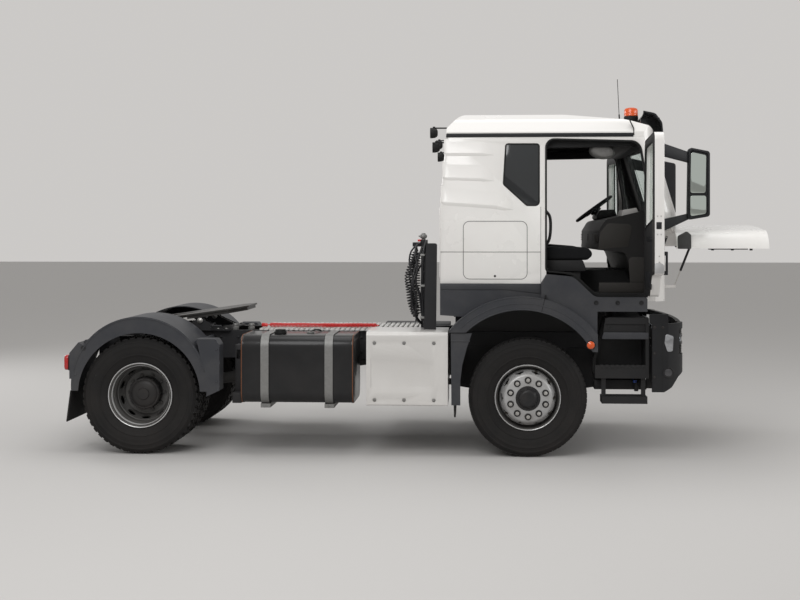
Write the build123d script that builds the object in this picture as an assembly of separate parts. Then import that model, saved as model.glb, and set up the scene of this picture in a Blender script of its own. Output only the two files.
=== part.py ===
from build123d import *
import math
import os

os.makedirs("parts", exist_ok=True)

# A two-axle tractor unit, right-hand side towards -Y, front towards +X, floor at Z = 0.
# Lengths are in millimetres. Every piece is drawn with the front axle at X = 0 and is moved
# forward by FRONT_AXLE_X when it is written, so that the origin is midway along the vehicle.

# Running gear
FRONT_AXLE_X = 1059.0
WHEELBASE = 3600.0
TYRE_R = 545.0
TYRE_HALF_W = 160.0
TREAD_HALF_W = 132.0
BEAD_R = 286.0
RIM_HALF_W = 118.0
RIM_WALL = 9.0
FLANGE_R = 300.0
FRONT_WHEEL_Y = 1040.0
TWIN_MIDDLE_Y = 900.0
DISC_OFFSET = 175.0
KINGPIN_Y = 915.0
KINGPIN_R = 24.0
SPINDLE_R = 45.0
STUD_CIRCLE_R = 167.5
STUDS = 10
NUT_R = 19.0
HAND_HOLES = 10
HAND_HOLE_R = 24.0
CLEAR = 0.3

# Ladder frame
RAIL_TOP = 1095.0
RAIL_H = 270.0
RAIL_T = 9.0
FLANGE_W = 85.0
RAIL_Y_FRONT = 471.0
RAIL_Y_REAR = 382.0
RAIL_FRONT_X = 1180.0
RAIL_REAR_X = -WHEELBASE - 560.0
JOGGLE_START_X = -720.0
JOGGLE_END_X = -1000.0

# Cab
CAB_HALF_W = 1120.0
WALL_T = 60.0
CAB_REAR_X = -808.0
CAB_BOTTOM = 1430.0
SIDE_BOTTOM = 1598.0
GUTTER_Z = 2962.0
ROOF_TOP = 3168.0
FRONT_X = 1475.0
FRONT_BOW = 50.0
CORNER_Y = CAB_HALF_W - 220.0
TILT_X = 1310.0
TILT_Z = 1000.0
DOOR_HINGE_X = 1135.0
DOOR_HINGE_Y = CAB_HALF_W - 8.0
DOOR_OPEN = 88.0
DOOR_GAP = 7.0
DOOR_PIN_R = 8.0
DOOR_LUG_R = 14.0
DOOR_LUG_Z = ((1660.0, 1720.0), (2290.0, 2350.0))
ARCH_X = -55.0
ARCH_Z = 620.0
ARCH_R = 732.0

# Front flap and its struts
FLAP_HINGE_X = 1400.0
FLAP_HINGE_Z = 2060.0
FLAP_TOP = 2100.0
FLAP_BOTTOM = 1265.0
FLAP_T = 30.0
FLAP_OPEN = 90.0
STRUT_Y = CAB_HALF_W - 240.0
STRUT_FLAP_PIN = (1550.0, 2012.0)
STRUT_CAB_PIN = (1372.0, 1560.0)
STRUT_TUBE_R = 11.0
STRUT_ROD_R = 5.0
STRUT_PIN_R = 6.0

# Fifth wheel
COUPLING_X = -WHEELBASE + 400.0
PLATE_TOP = 1270.0
PIVOT_DROP = 78.0
PLATE_TILT = 8.0
PLATE_HALF_W = 455.0
KINGPIN_NECK_R = 25.4

# Side equipment
BODY_HALF_W = 1250.0
TANK = dict(x0=-WHEELBASE + 945.0, x1=-1600.0, y0=-BODY_HALF_W + 30.0, y1=-520.0, z0=478.0, z1=1111.0, r=110.0)
STRAP_X = (TANK["x0"] + 227.0, TANK["x1"] - 232.0)
STRAP_W = 75.0
STRAP_T = 5.0


def box(x0, x1, y0, y1, z0, z1):
    """Block between two corners."""
    return Pos((x0 + x1) / 2, (y0 + y1) / 2, (z0 + z1) / 2) * Box(x1 - x0, y1 - y0, z1 - z0)


def outline(rows):
    """Flat face from rows of (first, second, corner radius)."""
    face = Polygon(*[(row[0], row[1]) for row in rows], align=None)
    for first, second, radius in rows:
        if radius > 0:
            corner = min(face.vertices(), key=lambda v: (v.X - first) ** 2 + (v.Y - second) ** 2)
            face = fillet(corner, radius)
    return face


def slab_xz(rows, y0, y1):
    """Plate seen from the side: rows of (X, Z, corner radius), from Y = y0 to y1."""
    return Pos(0, y0, 0) * extrude(Plane.XZ * outline(rows), amount=y1 - y0, dir=(0, 1, 0))


def slab_xy(rows, z0, z1):
    """Plate seen from above: rows of (X, Y, corner radius), from Z = z0 to z1."""
    return Pos(0, 0, z0) * extrude(outline(rows), amount=z1 - z0, dir=(0, 0, 1))


def slab_yz(rows, x0, x1):
    """Plate seen from the front: rows of (Y, Z, corner radius), from X = x0 to x1."""
    return Pos(x0, 0, 0) * extrude(Plane.YZ * outline(rows), amount=x1 - x0, dir=(1, 0, 0))


def turned(rows):
    """Solid of revolution about the Y axis: rows of (radius, across, corner radius)."""
    return revolve(outline(rows), axis=Axis.Y)


def rod(start, end, radius):
    """Round bar between two points."""
    axis = Vector(*end) - Vector(*start)
    plane = Plane(origin=start, z_dir=axis)
    return plane * Pos(0, 0, axis.length / 2) * Cylinder(radius, axis.length)


def left(shape):
    """The same piece on the left-hand side."""
    return mirror(shape, about=Plane.XZ)


def both(shape):
    """A right-hand piece and its left-hand twin."""
    return [shape, left(shape)]


def turned_y(shape, x, z, degrees):
    """Piece turned about a line across the vehicle through (x, z)."""
    return Pos(x, 0, z) * Rot(0, degrees, 0) * Pos(-x, 0, -z) * shape


def write(node, pieces):
    """One STEP file for each node."""
    pieces = pieces if isinstance(pieces, (list, tuple)) else [pieces]
    solids = []
    for piece in pieces:
        solids += (Pos(FRONT_AXLE_X, 0, 0) * piece).solids()
    export_step(Compound(children=solids) if len(solids) > 1 else solids[0], "parts/" + node + ".step")


# Wheels: each is drawn about the Y axis with its outer side towards +Y

REAR_X = -WHEELBASE
TYRE_WALL = 26.0
BEAD_W = 24.0


def tyre():
    """Tubeless tyre, open towards the rim."""
    seat = BEAD_R + CLEAR
    inside = RIM_HALF_W - BEAD_W - CLEAR
    across = RIM_HALF_W - CLEAR
    rows = [
        # radius, across, corner radius
        (seat, -across, 0), (FLANGE_R + 8, -across, 0), (FLANGE_R + 34, -across - 4, 0), (430, -TYRE_HALF_W, 60),
        (TYRE_R - 45, -TYRE_HALF_W + 6, 0), (TYRE_R, -TREAD_HALF_W, 0), (TYRE_R, TREAD_HALF_W, 0),
        (TYRE_R - 45, TYRE_HALF_W - 6, 0), (430, TYRE_HALF_W, 60), (FLANGE_R + 34, across + 4, 0),
        (FLANGE_R + 8, across, 0), (seat, across, 0), (seat, inside, 0), (430, TYRE_HALF_W - TYRE_WALL, 60),
        (TYRE_R - 34, TREAD_HALF_W - 10, 0), (TYRE_R - 34, -TREAD_HALF_W + 10, 0),
        (430, -TYRE_HALF_W + TYRE_WALL, 60), (seat, -inside, 0),
    ]
    return turned(rows)


def rim_band():
    """Drop-centre rim with a flange each side."""
    lip = RIM_HALF_W + 12
    rows = [
        # radius, across, corner radius
        (BEAD_R, -RIM_HALF_W, 0), (FLANGE_R, -RIM_HALF_W, 0), (FLANGE_R, -lip, 5),
        (BEAD_R - RIM_WALL, -lip, 0), (BEAD_R - RIM_WALL - 3, -60, 0), (252, -30, 0), (252, 30, 0),
        (BEAD_R - RIM_WALL - 3, 60, 0), (BEAD_R - RIM_WALL, lip, 0), (FLANGE_R, lip, 5),
        (FLANGE_R, RIM_HALF_W, 0), (BEAD_R, RIM_HALF_W, 0), (BEAD_R - 3, 55, 0), (263, 30, 0),
        (263, -30, 0), (BEAD_R - 3, -55, 0),
    ]
    return turned(rows)


def disc(face, root):
    """Dished wheel disc: its flat ring is at across = face, and it meets the rim at root."""
    way = 1 if face > root else -1
    rows = [
        # radius, across, corner radius
        (112, face - 12 * way, 0), (112, face, 0), (212, face, 0), (236, face - 26 * way, 0),
        (262, root + 12 * way, 0), (262, root - 4 * way, 0), (250, root, 0),
        (224, face - 38 * way, 0), (204, face - 12 * way, 0),
    ]
    plain = turned(rows)
    for index in range(HAND_HOLES):
        angle = 360 / HAND_HOLES * (index + 0.5)
        hole = Rot(0, angle, 0) * Pos(243, (face + root) / 2, 0) * Rot(0, 0, -62 * way)
        plain -= hole * Rot(90, 0, 0) * Cylinder(HAND_HOLE_R, 90)
    return plain


def nuts(face, height):
    """Ring of wheel nuts, standing out from across = face."""
    ring = []
    for index in range(STUDS):
        place = Rot(0, 360 / STUDS * index, 0) * Pos(STUD_CIRCLE_R, face + height / 2, 0)
        ring.append(place * Rot(90, 0, 0) * extrude(RegularPolygon(NUT_R, 6), amount=height / 2, both=True))
    return ring


def front_rim():
    """Front wheel without its tyre: rim, outward dish, nuts, hub and brake drum."""
    face = DISC_OFFSET + 12
    wheel = rim_band() + disc(face, 40)
    hub = turned([
        # radius, across, corner radius
        (SPINDLE_R + CLEAR, -30, 0), (205, -30, 0), (205, -10, 0), (150, 90, 0), (150, DISC_OFFSET - 12, 0),
        (111.5, DISC_OFFSET, 0), (111.5, face + 6, 0), (74, face + 34, 0), (70, face + 44, 8), (0, face + 44, 0),
        (0, DISC_OFFSET - 20, 0), (SPINDLE_R + CLEAR, DISC_OFFSET - 20, 0)])
    wheel += hub
    wheel += turned([(110, DISC_OFFSET - 12, 0), (214, DISC_OFFSET - 12, 0), (214, DISC_OFFSET, 0),
                     (110, DISC_OFFSET, 0)])
    for nut in nuts(face, 34):
        wheel += nut
    return wheel


def rear_rims():
    """Twin rear wheel without its tyres: two rims back to back, planetary hub and brake drum."""
    wheel = Pos(0, DISC_OFFSET, 0) * (rim_band() + disc(-DISC_OFFSET + 12, -40))
    wheel += Pos(0, -DISC_OFFSET, 0) * (rim_band() + disc(DISC_OFFSET - 12, 40))
    hub = turned([
        # radius, across, corner radius
        (SPINDLE_R + CLEAR, -210, 0), (205, -210, 0), (205, -60, 0), (216, -40, 0), (216, 14, 0), (152, 14, 0),
        (152, 150, 12), (96, 172, 0), (60, 176, 0), (56, 190, 6), (0, 190, 0), (0, 100, 0),
        (SPINDLE_R + CLEAR, 100, 0)])
    wheel += hub
    for nut in nuts(12, 38):
        wheel += nut
    return wheel


def place_wheel(shape, x, y, side):
    """Wheel piece on its axle end: side is -1 on the right and 1 on the left."""
    turned_piece = shape if side > 0 else Rot(0, 0, 180) * shape
    return Pos(x, side * y, TYRE_R) * turned_piece


TYRE = tyre()
FRONT_RIM = front_rim()
REAR_RIMS = rear_rims()
for name, side in (("right", -1), ("left", 1)):
    write("tyre_front_" + name, place_wheel(TYRE, 0, FRONT_WHEEL_Y, side))
    write("rim_front_" + name, place_wheel(FRONT_RIM, 0, FRONT_WHEEL_Y, side))
    twins = [place_wheel(Pos(0, shift, 0) * TYRE, REAR_X, TWIN_MIDDLE_Y, side)
             for shift in (DISC_OFFSET, -DISC_OFFSET)]
    write("tyres_rear_" + name, twins)
    write("rims_rear_" + name, place_wheel(REAR_RIMS, REAR_X, TWIN_MIDDLE_Y, side))


# Steering knuckles and tie rod

EYE_HALF_H = 70.0
FORK_T = 45.0
ARM_BACK = 150.0
TIE_Z = TYRE_R - 162.0
TIE_R = 16.0
TIE_EYE_H = 34.0
TIE_EYE_R = 26.0
BALL_R = 12.0
SPINDLE_END = FRONT_WHEEL_Y - KINGPIN_Y + DISC_OFFSET - 25.0


def knuckle():
    """Left knuckle about its kingpin at the origin, its spindle towards +Y."""
    fork_top = EYE_HALF_H + CLEAR + FORK_T
    body = Cylinder(KINGPIN_R, 2 * fork_top)
    for sign in (1, -1):
        middle = sign * (EYE_HALF_H + CLEAR + FORK_T / 2)
        body += Pos(0, 0, middle) * Cylinder(55, FORK_T)
        body += Pos(0, 42, middle) * Box(100, 84, FORK_T)
    body += box(-50, 50, 66, 92, -fork_top, fork_top)
    body += rod((0, 92, 0), (0, SPINDLE_END, 0), SPINDLE_R)
    body -= box(-200, 200, SPINDLE_END, SPINDLE_END + 100, -200, 200)
    arm = slab_xy([(-38, 36, 0), (-38, -36, 0), (-ARM_BACK - 25, -24, 20), (-ARM_BACK - 25, 24, 20)],
                  -fork_top - 22, -fork_top + 5)
    arm += Pos(0, 0, -fork_top - 8) * Cylinder(50, 28)
    body += arm
    pin_low = TIE_Z - TYRE_R - TIE_EYE_H / 2 - 6
    body += Pos(-ARM_BACK, 0, (pin_low - fork_top) / 2) * Cylinder(BALL_R, -pin_low - fork_top)
    return body


KNUCKLE = knuckle()
write("knuckle_left", Pos(0, KINGPIN_Y, TYRE_R) * KNUCKLE)
write("knuckle_right", left(Pos(0, KINGPIN_Y, TYRE_R) * KNUCKLE))

tie_rod = rod((-ARM_BACK, -KINGPIN_Y, TIE_Z), (-ARM_BACK, KINGPIN_Y, TIE_Z), TIE_R)
for side in (-1, 1):
    tie_rod += Pos(-ARM_BACK, side * KINGPIN_Y, TIE_Z) * Cylinder(TIE_EYE_R, TIE_EYE_H)
    tie_rod -= Pos(-ARM_BACK, side * KINGPIN_Y, TIE_Z) * Cylinder(BALL_R + CLEAR, 200)
write("tie_rod", tie_rod)


# Ladder frame: two channel rails with a joggle behind the cab, and crossmembers

def rail():
    """Left channel rail, open side inwards."""
    front, rear = RAIL_Y_FRONT, RAIL_Y_REAR
    plan = [(RAIL_FRONT_X, front), (JOGGLE_START_X, front), (JOGGLE_END_X, rear), (RAIL_REAR_X, rear)]

    def strip(width):
        inner = [(x, y - width, 0) for x, y in reversed(plan)]
        return [(x, y, 0) for x, y in plan] + inner

    bottom = RAIL_TOP - RAIL_H
    channel = slab_xy(strip(RAIL_T), bottom, RAIL_TOP)
    channel += slab_xy(strip(FLANGE_W), bottom, bottom + RAIL_T)
    channel += slab_xy(strip(FLANGE_W), RAIL_TOP - RAIL_T, RAIL_TOP)
    return channel


CROSS_X = (RAIL_FRONT_X - 60, -1560.0, RAIL_REAR_X + 1710.0, RAIL_REAR_X + 980.0, RAIL_REAR_X + 140.0)
MOUNT_X = (-480.0, 480.0)
ENGINE_HALF_W = 330.0
TILT_BRACKET_Y = (395.0, 465.0)
TILT_PIN_R = 20.0
TILT_ARM_Y = (480.0, 530.0)
frame = rail() + left(rail())
for cross_x in CROSS_X:
    half = (RAIL_Y_FRONT if cross_x > JOGGLE_START_X else RAIL_Y_REAR) - RAIL_T
    low = RAIL_TOP - RAIL_H + 40
    frame += box(cross_x - 60, cross_x + 60, -half, half, low, low + 10)
    frame += box(cross_x - 5, cross_x + 5, -half, half, low, RAIL_TOP - 60)
frame += box(RAIL_REAR_X - 12, RAIL_REAR_X, -560, 560, RAIL_TOP - RAIL_H - 30, RAIL_TOP - 20)
for side in (-1, 1):
    for mount_x in MOUNT_X:
        y0, y1 = sorted((side * ENGINE_HALF_W, side * (RAIL_Y_FRONT - RAIL_T)))
        frame += box(mount_x - 60, mount_x + 60, y0, y1, 900, 940)
    y0, y1 = sorted(side * y for y in TILT_BRACKET_Y)
    frame += box(RAIL_FRONT_X, TILT_X + 30, y0, y1, 850, TILT_Z + 40)
    y0, y1 = sorted((side * TILT_BRACKET_Y[1], side * (TILT_ARM_Y[1] + 10)))
    frame += Pos(TILT_X, (y0 + y1) / 2, TILT_Z) * Rot(90, 0, 0) * Cylinder(TILT_PIN_R, y1 - y0)
write("chassis_frame", frame)


# Front axle: dropped beam with an eye at each kingpin, on leaf springs

EYE_R = 52.0
BEAM_DROP = 95.0
SPRING_Y = 420.0
SPRING_W = 90.0
SPRING_T = 18.0
SPRING_HALF_L = 850.0
SPRING_SAG = 95.0
HANGER_X = (880.0, -880.0)

beam_z = TYRE_R - BEAM_DROP
axle = slab_yz([(-560, beam_z - 55, 0), (560, beam_z - 55, 0), (KINGPIN_Y - 60, TYRE_R - 62, 0),
                (KINGPIN_Y - 30, TYRE_R - 62, 0), (KINGPIN_Y - 30, TYRE_R + 62, 0), (KINGPIN_Y - 90, TYRE_R + 62, 0),
                (540, beam_z + 45, 0), (-540, beam_z + 45, 0), (-KINGPIN_Y + 90, TYRE_R + 62, 0),
                (-KINGPIN_Y + 30, TYRE_R + 62, 0), (-KINGPIN_Y + 30, TYRE_R - 62, 0),
                (-KINGPIN_Y + 60, TYRE_R - 62, 0)], -45, 45)
for side in (-1, 1):
    axle += Pos(0, side * KINGPIN_Y, TYRE_R) * Cylinder(EYE_R, 2 * EYE_HALF_H)
    axle -= Pos(0, side * KINGPIN_Y, TYRE_R) * Cylinder(KINGPIN_R + CLEAR, 400)
    axle += box(-95, 95, side * SPRING_Y - 60, side * SPRING_Y + 60, beam_z + 40, beam_z + 62)

spring_low = beam_z + 62
spring_end = spring_low + SPRING_SAG
sag_r = (SPRING_HALF_L ** 2 + SPRING_SAG ** 2) / (2 * SPRING_SAG)


def leaf_pack(y):
    """Two-leaf parabolic spring with eyes, hanger and shackle up to the rail."""
    middle_z = spring_low + SPRING_T + 8 + sag_r
    ring = Cylinder(sag_r + SPRING_T + 8, SPRING_W) - Cylinder(sag_r - SPRING_T - 8, SPRING_W * 2)
    ring = Pos(0, y, middle_z) * Rot(90, 0, 0) * ring
    leaves = ring & box(-SPRING_HALF_L, SPRING_HALF_L, y - 100, y + 100, spring_low - 60, spring_end + 80)
    pack = leaves + box(-80, 80, y - 50, y + 50, spring_low, spring_low + 70)
    for hanger in HANGER_X:
        eye_z = spring_end + 30
        rail_low = RAIL_TOP - RAIL_H
        pack += Pos(hanger, y, eye_z) * Rot(90, 0, 0) * Cylinder(34, SPRING_W)
        pack += slab_xz([(hanger - 34, eye_z, 0), (hanger + 34, eye_z, 0), (hanger + 60, rail_low, 0),
                         (hanger - 60, rail_low, 0)], y - 45, y + 45)
    return pack


write("front_axle", [axle] + both(leaf_pack(-SPRING_Y)))

# Rear axle: banjo housing with tubes to the hubs, and the air springs that carry the frame

DIFF_R = 215.0
TUBE_R = 62.0
BELLOWS_R = 80.0
BELLOWS_Y = 468.0
BELLOWS_X = (-330.0, 330.0)
BEAM_TOP = TYRE_R - 75.0
NOSE_X = REAR_X + 330.0
NOSE_Z = TYRE_R + 12.0

rear_axle = Pos(REAR_X, 0, TYRE_R) * Rot(0, 90, 0) * Cylinder(DIFF_R, 230)
rear_axle += Pos(REAR_X, 0, TYRE_R) * Rot(90, 0, 0) * Cylinder(TUBE_R, 2 * (TWIN_MIDDLE_Y - 225))
rear_axle += rod((REAR_X + 100, 0, NOSE_Z), (NOSE_X, 0, NOSE_Z), 95)
beams = []
for side in (-1, 1):
    beam_y = side * BELLOWS_Y
    rear_axle += rod((REAR_X, side * 500, TYRE_R), (REAR_X, side * (TWIN_MIDDLE_Y + 90), TYRE_R), SPINDLE_R)
    rear_axle += box(REAR_X - 70, REAR_X + 70, beam_y - 55, beam_y + 55, BEAM_TOP, TYRE_R)
    beam = box(REAR_X - 420, REAR_X + 420, beam_y - 55, beam_y + 55, BEAM_TOP - 75, BEAM_TOP)
    bracket_top = RAIL_TOP - 50
    for shift in BELLOWS_X:
        x = REAR_X + shift
        height = bracket_top - 10 - BEAM_TOP
        beam += Pos(x, beam_y, BEAM_TOP + height / 2) * Cylinder(BELLOWS_R - 12, height)
        for level in (0.35, 0.58, 0.81):
            beam += Pos(x, beam_y, BEAM_TOP + height * level) * Cylinder(BELLOWS_R, 90)
        y0, y1 = sorted((side * RAIL_Y_REAR, side * (BELLOWS_Y + 60)))
        beam += box(x - 70, x + 70, y0, y1, bracket_top - 10, bracket_top)
    beams.append(beam)
write("rear_axle", rear_axle)
write("air_springs", beams)

# Engine and gearbox as plain blocks, radiator pack and propeller shaft

ENGINE_FRONT_X = 760.0
GEARBOX_REAR_X = -1380.0
SHAFT_Z = 800.0
engine = box(-620, ENGINE_FRONT_X, -ENGINE_HALF_W, ENGINE_HALF_W, 700, 1480)
engine += box(GEARBOX_REAR_X, -620, -215, 215, 660, 1060)
write("engine_block", engine)
radiator_y = RAIL_Y_FRONT - FLANGE_W
radiator = box(850, 1050, -radiator_y, radiator_y, RAIL_TOP - RAIL_H + 12, 1400)
write("radiator", radiator + box(ENGINE_FRONT_X, 850, -60, 60, 1000, 1100))
shaft = rod((GEARBOX_REAR_X - 40, 0, SHAFT_Z), (NOSE_X + 40, 0, NOSE_Z), 55)
shaft += Pos(GEARBOX_REAR_X - 40, 0, SHAFT_Z) * Rot(0, 90, 0) * Cylinder(85, 80)
shaft += Pos(NOSE_X + 40, 0, NOSE_Z) * Rot(0, 90, 0) * Cylinder(85, 80)
write("propeller_shaft", shaft)

# Bumper, headlamps and entry steps

BUMPER_TOP = 1235.0
BUMPER_SIDE_TOP = 1320.0
BUMPER_LOW = 610.0
BUMPER_T = 40.0
BUMPER_HALF_W = CAB_HALF_W + 105.0
BUMPER_BEND_X = 1270.0
STEP_LEVELS = ((1245.0, 1280.0, 705.0), (730.0, 765.0, 612.0))


def bow_plan(front_x, side_y, x_end):
    """Bowed front in plan, with rounded corners, closed straight across at x_end."""
    corner_x = front_x - FRONT_BOW
    turn_x = corner_x - 0.29 * (corner_x - x_end)
    turn_y = side_y - 0.29 * (side_y - CORNER_Y)
    with BuildSketch() as plan:
        with BuildLine():
            ThreePointArc((corner_x, CORNER_Y), (front_x, 0), (corner_x, -CORNER_Y))
            ThreePointArc((corner_x, -CORNER_Y), (turn_x, -turn_y), (x_end, -side_y))
            Line((x_end, -side_y), (x_end, side_y))
            ThreePointArc((x_end, side_y), (turn_x, turn_y), (corner_x, CORNER_Y))
        make_face()
    return plan.sketch


def bowed(front_x, side_y, x_end, z0, z1):
    """Solid filling the bowed front."""
    return Pos(0, 0, z0) * extrude(bow_plan(front_x, side_y, x_end), amount=z1 - z0)


def bowed_shell(front_x, side_y, x_end, z0, z1, thick):
    """Shell of that form, open towards the rear."""
    return bowed(front_x, side_y, x_end, z0, z1) - bowed(front_x - thick, side_y - thick, x_end - 1, z0 - 1, z1 + 1)


BUMPER_SIDE_X = 1125.0
LAMP_Y = (BUMPER_HALF_W - 405.0, BUMPER_HALF_W - 95.0)
LAMP_Z = (950.0, 1180.0)


def lamp_window(side):
    """Block that cuts one headlamp opening."""
    y0, y1 = sorted(side * y for y in LAMP_Y)
    return box(1250, 1600, y0, y1, *LAMP_Z)


shell = bowed_shell(FRONT_X, BUMPER_HALF_W, BUMPER_BEND_X, BUMPER_LOW, BUMPER_TOP, BUMPER_T)
for side in (-1, 1):
    wing_y = side * (BUMPER_HALF_W - BUMPER_T / 2)
    shell += box(BUMPER_SIDE_X, BUMPER_BEND_X, wing_y - 20, wing_y + 20,
                 BUMPER_LOW, BUMPER_TOP)
    shell += box(BUMPER_SIDE_X - 22, 1270, wing_y - 20, wing_y + 20, BUMPER_TOP, BUMPER_SIDE_TOP)
shell -= box(1300, 1600, -700, 700, 560, 680)
shell -= box(1300, 1600, -560, 560, 900, 1130)
shell -= slab_xz([(1215, BUMPER_LOW - 10, 0), (1520, BUMPER_LOW - 10, 0), (1520, BUMPER_LOW + 235, 0),
                  (1370, BUMPER_LOW + 135, 0), (1305, BUMPER_LOW + 45, 40)], -1300, 1300)
for side in (-1, 1):
    shell -= lamp_window(side)
    shell += box(TILT_X + 30, 1440, side * 430 - 35, side * 430 + 35, 850, 960)
grille = box(1400, 1410, -560, 560, 900, 1130)
for step in range(5):
    grille += box(1410, 1440, -565, 565, 915 + 45 * step, 930 + 45 * step)
shell += grille
write("bumper", shell)

lamp_body = bowed(FRONT_X - 8, BUMPER_HALF_W - 8, BUMPER_BEND_X, *LAMP_Z)
lamp_body -= bowed(FRONT_X - 55, BUMPER_HALF_W - 55, BUMPER_BEND_X - 1, 900, 1200)
lamps = [lamp_body & lamp_window(side) for side in (-1, 1)]
write("headlamps", lamps)


STEP_FRONT_X = 1100.0


def steps():
    """Right entry steps: boxed treads, a closed back, and a hanging foot."""
    y_out, y_in = -1190.0, -880.0
    rear_edge = [(612, 730, 0), (612, 880, 0), (648, 985, 0), (705, 1280, 0)]
    unit = slab_xz(rear_edge + [(STEP_FRONT_X, 1280, 0), (STEP_FRONT_X, 730, 0)], y_in, y_in + 30)
    for low, high, rear in STEP_LEVELS:
        unit += box(rear, STEP_FRONT_X, y_out, y_in, low, high)
    unit += box(612, STEP_FRONT_X, y_out, y_out + 22, 730, 850)
    unit += box(705, STEP_FRONT_X, y_out, y_out + 22, 1225, 1280)
    unit += box(STEP_FRONT_X - 30, STEP_FRONT_X, y_out, y_in, 730, 1280)
    unit += slab_xz(rear_edge + [(735, 1280, 0), (678, 985, 0), (642, 880, 0), (642, 730, 0)], y_in - 60, y_in)
    for strap_x in (690, 1050):
        unit += box(strap_x - 20, strap_x + 20, y_out + 20, y_out + 28, 560, 740)
    unit += box(673, 1085, y_out - 10, y_out + 190, 500, 565) - box(690, 1068, y_out + 5, y_out + 175, 440, 600)
    unit += box(690, STEP_FRONT_X - 10, y_in + 30, -RAIL_Y_FRONT, 880, 940)
    return unit


write("steps", both(steps()))


# Front mudguard ends behind the wheels, rear fenders, mudflaps and tail lamps

GUARD_Y = (-BODY_HALF_W + 15.0, -960.0)
guard_rows = [(-706, 1139, 0), (-512, 1139, 0), (-560, 1000, 0), (-600, 850, 0), (-618, 700, 0),
              (-618, 478, 0), (-700, 478, 0)]
guard = slab_xz(guard_rows, GUARD_Y[0], GUARD_Y[0] + 40)
guard += slab_xz([(-640, 1139, 0), (-560, 1139, 0), (-634, 850, 0), (-652, 478, 0), (-700, 478, 0),
                  (-700, 850, 0)], GUARD_Y[0], GUARD_Y[1])
guard += box(-690, -640, GUARD_Y[1], -RAIL_Y_FRONT, 900, 950)
write("front_mudguards", both(guard))

FENDER_R = 640.0
FENDER_Z = 640.0
FENDER_T = 8.0
FENDER_LIP_R = 575.0
FENDER_LIP_Z = 553.0
FENDER_IN_Y = 560.0
TAIL_X = REAR_X - 655.0
FENDER_FRONT_X = REAR_X + 755.0
LAMP_DEEP = 58.0
TAIL_IN_Y = 890.0


def rear_fender():
    """Right rear fender over both twin tyres, with its side lip, front box and tail panel."""
    def ring(outer, inner, y0, y1):
        disk = Cylinder(outer, y1 - y0) - Cylinder(inner, 2 * (y1 - y0))
        return Pos(REAR_X, (y0 + y1) / 2, FENDER_Z) * Rot(90, 0, 0) * disk
    upper = box(REAR_X - 900, REAR_X + 900, -BODY_HALF_W - 10, 0, 590, FENDER_Z + 900)
    sheet = ring(FENDER_R, FENDER_R - FENDER_T, -BODY_HALF_W, -FENDER_IN_Y) & upper
    lip = ring(FENDER_R - 2, 100.0, -BODY_HALF_W, -BODY_HALF_W + 12) & upper
    lip -= Pos(REAR_X, -BODY_HALF_W, FENDER_LIP_Z) * Rot(90, 0, 0) * Cylinder(FENDER_LIP_R, 200)
    nose = FENDER_FRONT_X
    front_box = slab_xz([(nose - 131, 540, 0), (nose, 600, 0), (nose, 1020, 25), (nose - 35, 1075, 25),
                         (nose - 215, 1075, 0), (nose - 175, 900, 0), (nose - 131, 760, 0)],
                        -BODY_HALF_W, -BODY_HALF_W + 200)
    front_box -= Pos(REAR_X, -BODY_HALF_W, FENDER_Z) * Rot(90, 0, 0) * Cylinder(FENDER_R - 1, 600)
    tail = slab_xz([(TAIL_X, 700, 0), (TAIL_X, 940, 0), (TAIL_X + 85, 1040, 0), (TAIL_X + 155, 1000, 0),
                    (TAIL_X + 85, 850, 0), (TAIL_X + 40, 700, 0)], -BODY_HALF_W, -TAIL_IN_Y)
    tail -= Pos(REAR_X, -BODY_HALF_W, FENDER_Z) * Rot(90, 0, 0) * Cylinder(FENDER_R - 1, 900)
    fender = sheet + lip + front_box + tail
    for angle in (37, 143):
        x = REAR_X + (FENDER_R + 18) * math.cos(math.radians(angle))
        z = FENDER_Z + (FENDER_R + 18) * math.sin(math.radians(angle))
        fender += rod((x, -1150, z), (x, -RAIL_Y_REAR, z), 21)
    return fender


write("rear_fenders", both(rear_fender()))

rear_flap = slab_xz([(TAIL_X + 5, 590, 0), (TAIL_X + 17, 590, 0), (TAIL_X - 21, 300, 0), (TAIL_X - 33, 300, 0)],
                    -BODY_HALF_W + 10, -600)
guard_flap = slab_xz([(-680, 478, 0), (-655, 478, 0), (-660, 368, 0), (-676, 368, 0)],
                     GUARD_Y[0] + 10, GUARD_Y[1] - 20)
write("mudflaps", both(rear_flap) + both(guard_flap))
write("tail_lamps", both(box(TAIL_X - LAMP_DEEP, TAIL_X, -BODY_HALF_W + 15, -TAIL_IN_Y - 10, 773, 922)))

# Fuel tank with straps and brackets on the right

TANK_MID_Z = (TANK["z0"] + TANK["z1"]) / 2
tank_rows = [(TANK["y0"], TANK["z0"], TANK["r"]), (TANK["y1"], TANK["z0"], TANK["r"]),
             (TANK["y1"], TANK["z1"], TANK["r"]), (TANK["y0"], TANK["z1"], TANK["r"])]
tank = slab_yz(tank_rows, TANK["x0"], TANK["x1"])
tank += Pos(TANK["x0"] + 345, TANK["y0"] + 210, TANK["z1"] + 12) * Cylinder(45, 60)
write("fuel_tank", tank)


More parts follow.
